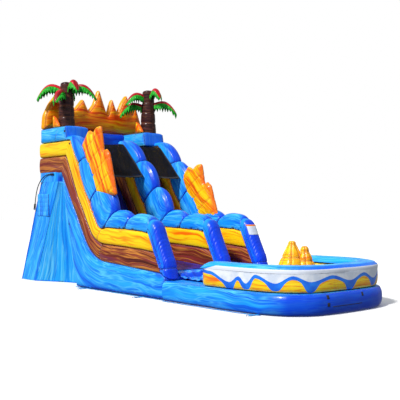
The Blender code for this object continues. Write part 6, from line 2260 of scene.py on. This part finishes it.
class Nodes:
    """A tree of shader nodes, with short ways to add to it."""

    def __init__(self, tree):
        """Keeps the tree."""
        self.tree = tree

    def feed(self, socket, value):
        """Gives an input a number, a colour or the output of another node."""
        if isinstance(value, (int, float)):
            socket.default_value = value
        elif isinstance(value, tuple):
            socket.default_value = (*value, 1.0)
        else:
            self.tree.links.new(value, socket)

    def feed_all(self, node, inputs):
        """Gives several inputs of a node their values, by name or number."""
        for name, value in inputs.items():
            self.feed(node.inputs[name], value)

    def add(self, kind, inputs, **settings):
        """A new node of a kind, with its settings and inputs."""
        node = self.tree.nodes.new("ShaderNode" + kind)
        for name, value in settings.items():
            setattr(node, name, value)
        self.feed_all(node, inputs)
        return node

    def math(self, operation, first, second=0.0, clamp=False):
        """Result of one step of arithmetic."""
        node = self.add("Math", {0: first, 1: second}, operation=operation, use_clamp=clamp)
        return node.outputs[0]

    def times(self, first, second, clamp=False):
        """Product of two values."""
        return self.math("MULTIPLY", first, second, clamp)

    def away(self, value, middle):
        """Distance of a value from a middle."""
        return self.math("ABSOLUTE", self.math("SUBTRACT", value, middle))

    def falling(self, value, width):
        """1 where a value is 0, and 0 from a width on."""
        return self.math("SUBTRACT", 1.0, self.math("DIVIDE", value, width), clamp=True)

    def split(self, vector):
        """The three parts of a vector."""
        return self.add("SeparateXYZ", {0: vector}).outputs

    def joined(self, x, y):
        """Vector from its first two parts."""
        return self.add("CombineXYZ", {0: x, 1: y}).outputs[0]

    def map(self, name):
        """Both parts of one of a skin's maps."""
        parts = self.split(self.add("UVMap", {}, uv_map=name).outputs["UV"])
        return parts[0], parts[1]

    def noise(self, vector, scale, detail, roughness=0.5):
        """Noise over a plane."""
        inputs = {"Vector": vector, "Scale": scale, "Detail": detail, "Roughness": roughness}
        return self.add("TexNoise", inputs, noise_dimensions="2D").outputs["Fac"]

    def ramp(self, value, stops):
        """Colour of a value, from stops of a place and a colour."""
        node = self.add("ValToRGB", {"Fac": value})
        node.color_ramp.interpolation = "EASE"
        elements = node.color_ramp.elements
        while len(elements) < len(stops):
            elements.new(0.5)
        for element, (position, colour) in zip(elements, stops):
            element.position = position
            element.color = (*colour, 1.0)
        return node.outputs["Color"]

    def mixed(self, share, first, second):
        """Share of the way from one colour to another."""
        return self.add("Mix", {0: share, 6: first, 7: second}, data_type="RGBA").outputs[2]

    def remapped(self, value, start, end, low, high, kind="LINEAR"):
        """Value turned from one range into another."""
        inputs = {"Value": value, "From Min": start, "From Max": end, "To Min": low, "To Max": high}
        return self.add("MapRange", inputs, interpolation_type=kind).outputs["Result"]

    def bumped(self, height, strength, distance):
        """Normals bent by a height."""
        inputs = {"Height": height, "Strength": strength, "Distance": distance}
        return self.add("Bump", inputs).outputs["Normal"]

    def facing(self, axis, sign, start, end):
        """How far a surface faces along one axis of the slide, from 0 to 1."""
        normal = self.split(self.add("NewGeometry", {}).outputs["Normal"])
        return self.remapped(self.times(normal[axis], sign), start, end, 0.0, 1.0, "SMOOTHSTEP")

    def near_start(self, start, end):
        """1 where the print of a skin starts, falling to 0 further along it."""
        return self.remapped(self.map("Flow")[0], start, end, 1.0, 0.0, "SMOOTHSTEP")


def new_finish(name):
    """A new material, its nodes and its shader."""
    made = bpy.data.materials.new(name)
    made.use_nodes = True
    return made, Nodes(made.node_tree), made.node_tree.nodes["Principled BSDF"]


def sewn(nodes, colour, crease_colour, thread, gloss):
    """Inputs of a vinyl's shader: a crease colour along each seam, double stitching, fine weave and
    its gloss.
    Where the crease colour is darker than the vinyl it is painted shade in the crease.
    """
    seam_d, seam_s = nodes.map("Seam")
    place = nodes.joined(*nodes.map("Flow"))
    crease = nodes.falling(seam_d, CREASE_WIDTH)
    dashes = nodes.math("FRACT", nodes.times(seam_s, 1 / STITCH_LENGTH))
    rows = [
        nodes.math("LESS_THAN", nodes.away(seam_d, row), THREAD_WIDTH / 2) for row in STITCH_ROWS
    ]
    dash = nodes.math("LESS_THAN", dashes, STITCH_SHARE)
    stitch = nodes.times(nodes.math("MAXIMUM", *rows), dash)
    # Painted shade in the crease: the colour is mixed towards the crease colour near each seam
    darker = nodes.mixed(nodes.times(crease, 0.6), colour, crease_colour)
    weave = nodes.add("TexWave", {"Vector": place, "Scale": 260.0, "Distortion": 0.6},
                      bands_direction="DIAGONAL")
    soft = nodes.noise(place, 9.0, 3.0, 0.55)
    height = nodes.math("ADD", nodes.times(weave.outputs["Fac"], 0.06), soft)
    height = nodes.math("SUBTRACT", height, nodes.times(stitch, 0.5))
    wear = nodes.noise(place, 2.3, 4.0, 0.6)
    return {
        "Base Color": nodes.mixed(nodes.times(stitch, thread), darker, THREAD_COLOUR),
        "Normal": nodes.bumped(height, 0.30, 0.008),
        "Roughness": nodes.remapped(wear, 0.0, 1.0, *gloss),
    }


def vinyl(name, bands, vein_colour, vein_amount, panels_and_painted_light=(), roughness=0.30, stretch=0.075,
          band_scale=8.0, vein_scale=9.0, coat=0.09, wander=0.06,
          crease_colour=(0.004, 0.02, 0.10), thread=0.3, foot=None):
    """Printed marble on coated vinyl: streaks and thin veins along the flow.

    Each tint entry is a way that a surface faces, or a stretch of it, with its colour and its
    strength: by facing it paints shade on front and under faces and light on near sides and tops.
    foot is a place across the flow, half the length along it and the colour before that place,
    which narrows to nothing at both ends.
    """
    made, nodes, shader = new_finish(name)
    flow_u, flow_v = nodes.map("Flow")
    slow = nodes.noise(nodes.joined(nodes.times(flow_u, 0.7), flow_v), 1.2, 2.0)
    bend = nodes.times(nodes.math("SUBTRACT", slow, 0.5), wander * 4)
    stretched = nodes.joined(nodes.times(flow_u, stretch), nodes.math("ADD", flow_v, bend))
    colour = nodes.ramp(nodes.noise(stretched, band_scale, 3.0, 0.6), BANDS[bands])
    sizes = ((vein_scale, 0.06), (vein_scale * 2.3, 0.085))
    for shift, (scale, width) in zip(VEIN_SHIFTS, sizes):
        mapping = nodes.add("Mapping", {"Vector": stretched})
        mapping.inputs["Location"].default_value = shift
        vector = mapping.outputs["Vector"]
        vein = nodes.falling(nodes.away(nodes.noise(vector, scale, 1.0, 0.4), 0.5), width)
        patch = nodes.math("SUBTRACT", nodes.noise(vector, scale * 0.4, 1.0), 0.40)
        patch = nodes.times(patch, 6.0, clamp=True)
        share = nodes.times(nodes.times(vein, patch), vein_amount)
        colour = nodes.mixed(share, colour, vein_colour)
    # Painted light and shade: a tint by facing darkens front and under faces and lightens near
    # sides and tops
    for way, tint, strength in panels_and_painted_light:
        place = nodes.facing(*way) if len(way) == 4 else nodes.near_start(*way)
        colour = nodes.mixed(nodes.times(place, strength), colour, tint)
    if foot is not None:
        limit, middle, tint = foot
        past = nodes.math("SUBTRACT", nodes.away(flow_u, middle), middle - FOOT_FADE)
        past = nodes.times(nodes.math("MAXIMUM", past, 0.0), FOOT_SLANT)
        edge = nodes.math("ADD", flow_v, past)
        colour = nodes.mixed(nodes.math("LESS_THAN", edge, limit), colour, tint)
    gloss = (roughness - 0.07, roughness + 0.10)
    # The crease colour paints shade along the seams where it is darker than the vinyl
    nodes.feed_all(shader, sewn(nodes, colour, crease_colour, thread, gloss))
    nodes.feed_all(shader, {"Coat Weight": coat, "Coat Roughness": 0.12})
    nodes.feed_all(shader, {"Specular IOR Level": 0.18})
    return made


def plain_finish(name, colour, roughness, scale, metallic=0.0, bump=0.2, vary=0.25):
    """Moulded or metal surface with a little variation in colour, gloss and relief."""
    made, nodes, shader = new_finish(name)
    place = nodes.add("TexCoord", {}).outputs["Object"]
    inputs = {"Vector": place, "Scale": scale, "Detail": 4.0, "Roughness": 0.6}
    grain = nodes.add("TexNoise", inputs).outputs["Fac"]
    dark = tuple(channel * (1 - vary) for channel in colour)
    light = tuple(min(1.0, channel * (1 + vary)) for channel in colour)
    nodes.feed_all(shader, {
        "Base Color": nodes.ramp(grain, ((0.3, dark), (0.7, light))),
        "Roughness": nodes.remapped(grain, 0.0, 1.0, max(0.05, roughness - 0.08), roughness + 0.08),
        "Normal": nodes.bumped(grain, bump, 0.002),
        "Metallic": metallic,
    })
    return made

# Painted light: the curtain takes a lighter copy of the blue vinyl against the shade of its recess

def net_finish():
    """Black mesh cloth that lets some of the light through between its threads."""
    made, nodes, shader = new_finish("net_cloth")
    flow = nodes.map("Flow")
    threads = []
    for place in flow:
        wave = nodes.math("FRACT", nodes.times(place, 1 / NET_SPACING))
        threads.append(nodes.math("LESS_THAN", wave, NET_THREAD_SHARE))
    grain = nodes.noise(nodes.joined(*flow), 6.0, 3.0)
    shades = ((0.3, (0.002, 0.002, 0.004)), (0.7, (0.008, 0.008, 0.012)))
    nodes.feed_all(shader, {
        "Base Color": nodes.ramp(grain, shades),
        "Alpha": nodes.math("MAXIMUM", *threads),
        "Roughness": nodes.ramp(grain, ((0.3, (0.7, 0.7, 0.7)), (0.7, (0.9, 0.9, 0.9)))),
        "Specular IOR Level": 0.15,
    })
    return made


def drip_finish():
    """White, blue and marbled yellow divided by two wavy lines held in the Drip map."""
    made, nodes, shader = new_finish("drip_vinyl")
    flow_u, flow_v = nodes.map("Flow")
    above_white, above_blue = nodes.map("Drip")
    stretched = nodes.joined(nodes.times(flow_u, 0.09), flow_v)
    yellow = nodes.ramp(nodes.noise(stretched, 9.0, 3.0, 0.6), BANDS["yellow"])
    vein = nodes.falling(nodes.away(nodes.noise(stretched, 14.0, 1.0, 0.5), 0.5), 0.07)
    yellow = nodes.mixed(nodes.times(vein, 0.7), yellow, (0.80, 0.09, 0.004))
    soft = nodes.noise(nodes.joined(flow_u, flow_v), 5.0, 2.0)
    blue = nodes.ramp(soft, ((0.3, (0.006, 0.13, 0.80)), (0.7, (0.012, 0.22, 0.95))))
    white = nodes.ramp(soft, ((0.3, (0.62, 0.70, 0.84)), (0.7, (0.80, 0.85, 0.94))))
    colour = nodes.mixed(nodes.math("GREATER_THAN", above_blue, 0.0), yellow, blue)
    colour = nodes.mixed(nodes.math("GREATER_THAN", above_white, 0.0), colour, white)
    # Painted shade: the dark blue crease colour along the seams
    nodes.feed_all(shader, sewn(nodes, colour, (0.05, 0.10, 0.25), 0.2, (0.24, 0.40)))
    nodes.feed_all(shader, {"Coat Weight": 0.22, "Coat Roughness": 0.14})
    return made


def make_finishes():
    """Every material, by the name that the pieces use for it."""
    rim_length = float(running_length(ring_line(0.0)[None], 1).max())
    rim_foot = (RIM_SEED * SEED_SHIFT + RIM_WHITE, rim_length / 2, (0.70, 0.76, 0.88))
    # Painted shade: front faces of the azure vinyl and the rim darken to deep blue
    azure_front_shade = ((FRONT, (0.003, 0.09, 0.85), 0.75),)
    # Post tints: azure near its shoulder, painted light on its top and painted shade on its front
    post_shoulder_and_painted_light = (((0.02, 0.40), (0.014, 0.34, 0.98), 0.9), (TOP, (0.010, 0.32, 0.98), 0.9),
                   (FRONT, PAINTED_SHADE_BLUE, 0.85))
    return {
        # Painted shade: front and under faces of the blue vinyl darken to deep blue
        "blue": vinyl("marbled_blue", "blue", (0.09, 0.56, 1.0), 0.85,
                      panels_and_painted_light=((FRONT, PAINTED_SHADE_BLUE, 0.85), (UNDER, PAINTED_SHADE_BLUE, 0.6))),
        # Painted light: the curtain is the blue vinyl, given lighter azure bands against the shade
        # of its recess
        "curtain": vinyl("curtain_vinyl_painted_light", "azure", AZURE_VEIN, 0.7, stretch=0.05, wander=0.03,
                         thread=0.0),
        "azure": vinyl("marbled_azure", "azure", AZURE_VEIN, 0.7, panels_and_painted_light=azure_front_shade),
        "rim": vinyl("rim_vinyl", "azure", AZURE_VEIN, 0.7, panels_and_painted_light=azure_front_shade, foot=rim_foot),
        "post": vinyl("post_vinyl", "post", (0.02, 0.25, 1.0), 0.6, thread=0.1,
                      panels_and_painted_light=post_shoulder_and_painted_light),
        # Painted light: near sides of the royal vinyl are lighter blue
        "royal": vinyl("royal_vinyl", "royal", (0.01, 0.18, 1.0), 0.5,
                       panels_and_painted_light=((NEAR_SIDE, (0.006, 0.17, 0.95), 0.5),)),
        # Painted shade: the dark crease colour along the brown seams
        "brown": vinyl("marbled_brown", "brown", (0.72, 0.28, 0.04), 0.75, stretch=0.035,
                       crease_colour=(0.03, 0.004, 0.01)),
        # Painted shade: front faces of the yellow vinyl darken to orange, and its crease colour is
        # painted shade with a tint
        "yellow": vinyl("marbled_yellow", "yellow", (0.86, 0.12, 0.004), 0.6, stretch=0.045,
                        panels_and_painted_light=((FRONT, (0.80, 0.20, 0.004), 0.5),),
                        crease_colour=(0.55, 0.08, 0.002)),
        # Painted shade: front faces of the rock darken to orange, and its crease colour is painted
        # shade with a red tint
        "rock": vinyl("marbled_rock", "rock", (0.75, 0.05, 0.004), 0.85, stretch=0.06, thread=0.05,
                      panels_and_painted_light=((FRONT, (0.78, 0.10, 0.004), 0.75),),
                      crease_colour=(0.80, 0.14, 0.004)),
        # Painted light: near sides of the flame wall are lighter orange, and its dark crease colour
        # is painted shade
        "orange": vinyl("marbled_orange", "orange", (0.62, 0.03, 0.002), 0.8,
                        panels_and_painted_light=((NEAR_SIDE, (1.0, 0.42, 0.006), 0.8),),
                        crease_colour=(0.35, 0.03, 0.002)),
        "drip": drip_finish(),
        "bark": vinyl("bark_vinyl", "bark", (0.20, 0.08, 0.03), 0.45, band_scale=18.0,
                      vein_scale=22.0, crease_colour=(0.14, 0.05, 0.02), thread=0.0, wander=0.015),
        "crimson": vinyl("frond_vinyl", "crimson", (0.75, 0.05, 0.08), 0.4, thread=0.0),
        "green": vinyl("leaf_cloth", "green", (0.10, 0.85, 0.08), 0.5, roughness=0.45, coat=0.0,
                       band_scale=12.0, thread=0.0),
        "net": net_finish(),
        "bed": vinyl("bed_vinyl", "bed", (0.06, 0.07, 0.60), 0.5, roughness=0.36, coat=0.1),
        "webbing": plain_finish("webbing", (0.02, 0.02, 0.025), 0.75, 500.0, bump=0.6),
        "blue_webbing": plain_finish("blue_webbing", (0.02, 0.36, 0.85), 0.7, 400.0, bump=0.6),
        "rubber": plain_finish("hose_rubber", (0.012, 0.012, 0.013), 0.42, 90.0, bump=0.15),
        "steel": plain_finish("ring_steel", (0.62, 0.62, 0.64), 0.28, 120.0, 1.0, bump=0.1),
        "label_white": plain_finish("label_white", (0.62, 0.68, 0.76), 0.5, 30.0, vary=0.06),
        "label_orange": plain_finish("label_orange", (0.85, 0.22, 0.01), 0.5, 30.0, vary=0.1),
    }


def stage():
    """White floor that only the camera sees."""
    corners = [(-1, -1), (1, -1), (1, 1), (-1, 1)]
    mesh = bpy.data.meshes.new("studio_floor")
    points = [(x * FLOOR_HALF, y * FLOOR_HALF, -0.004) for x, y in corners]
    mesh.from_pydata(points, [], [(0, 1, 2, 3)])
    made, nodes, shader = new_finish("studio_floor")
    nodes.feed_all(shader, {"Base Color": (0.93, 0.93, 0.93), "Roughness": 0.9})
    nodes.feed_all(shader, {"Specular IOR Level": 0.0})
    mesh.materials.append(made)
    floor = bpy.data.objects.new("studio_floor", mesh)
    bpy.context.scene.collection.objects.link(floor)
    floor.visible_diffuse = False
    floor.visible_glossy = False


def studio_world():
    """White backdrop, and a sky light that is stronger from above."""
    world = bpy.data.worlds.new("studio")
    bpy.context.scene.world = world
    world.use_nodes = True
    nodes = Nodes(world.node_tree)
    fill = world.node_tree.nodes["Background"]
    height = nodes.split(nodes.add("TexCoord", {}).outputs["Generated"])[2]
    strength = nodes.remapped(height, -0.4, 0.7, 0.22, 0.60)
    nodes.feed_all(fill, {"Strength": strength, "Color": (0.94, 0.97, 1.0)})
    backdrop = nodes.add("Background", {"Color": (1.0, 1.0, 1.0), "Strength": 1.0})
    seen = nodes.add("LightPath", {}).outputs["Is Camera Ray"]
    mix = nodes.add("MixShader", {0: seen, 1: fill.outputs[0], 2: backdrop.outputs[0]})
    nodes.feed(world.node_tree.nodes["World Output"].inputs["Surface"], mix.outputs[0])


def placed(name, data, turn):
    """New light or camera in the scene, turned."""
    made = bpy.data.objects.new(name, data)
    bpy.context.scene.collection.objects.link(made)
    made.rotation_mode = "QUATERNION"
    made.rotation_quaternion = turn
    return made


def light_and_camera():
    """Sky, sun and the camera of the photograph."""
    studio_world()
    sun = bpy.data.lights.new("key", "SUN")
    sun.energy = KEY_STRENGTH
    sun.angle = math.radians(7)
    sun.color = (1.0, 0.98, 0.95)
    placed("key", sun, Vector(KEY_DIRECTION).to_track_quat("Z", "Y"))
    data = bpy.data.cameras.new("camera")
    data.lens = CAMERA_LENS
    data.sensor_width = 36.0
    data.clip_end = 300.0
    level = Vector((-math.sin(CAMERA_AZIMUTH), math.cos(CAMERA_AZIMUTH), 0.0))
    look = level * math.cos(CAMERA_PITCH) + Vector((0, 0, math.sin(CAMERA_PITCH)))
    camera = placed("camera", data, look.to_track_quat("-Z", "Y"))
    camera.location = CAMERA_PLACE
    bpy.context.scene.camera = camera
    bpy.context.scene.view_settings.view_transform = "Standard"


def side_walls():
    """The three walls beside the lanes, each with two bands, a humped tube and a post."""
    walls = (
        ("left", True, -HALF_WIDTH, INNER_LEFT, 101),
        ("middle", False, MIDDLE_LEFT, MIDDLE_RIGHT, 121),
        ("right", True, INNER_RIGHT, HALF_WIDTH, 141),
    )
    for side, with_deck, left, right, seed in walls:
        wall_band(side, "brown", with_deck, left, right, seed)
        wall_band(side, "yellow", with_deck, left, right, seed + 3)
        wall_tube(side, with_deck, left, right, seed + 6)
        wall_post(side, left, right, seed + 9)


def main():
    """Makes the whole scene."""
    light_and_camera()
    hose()
    stage()
    slide_body()
    rear_wall()
    side_curtain("side_curtain_left", -1, 1)
    side_curtain("side_curtain_right", 1, 2)
    platform()
    tower_walls()
    side_cap("cap_left", -1, 27)
    side_cap("cap_right", 1, 28)
    side_walls()
    crag("crag_left", CRAG_LEFT, -HALF_WIDTH, -62, 161)
    crag("crag_right", CRAG_RIGHT, INNER_RIGHT, -38, 163)
    palm_y = HALF_WIDTH - PALM_EDGE_DISTANCE
    palm("left", -CAP_FRONT_BACK - PALM_LEFT_SETBACK, -palm_y, LEFT_FROND_SHARES, 171)
    palm("right", -CAP_FRONT_BACK - PALM_RIGHT_SETBACK, palm_y, RIGHT_FROND_SHARES, 181)
    lanes()
    landing_flap()
    pool_base()
    pool_wall()
    pool_rim()
    pool_floor()
    pool_rock()
    anchors()
    deflation_flap()
    inflation_sleeve()
    details()


FINISH = make_finishes()
main()
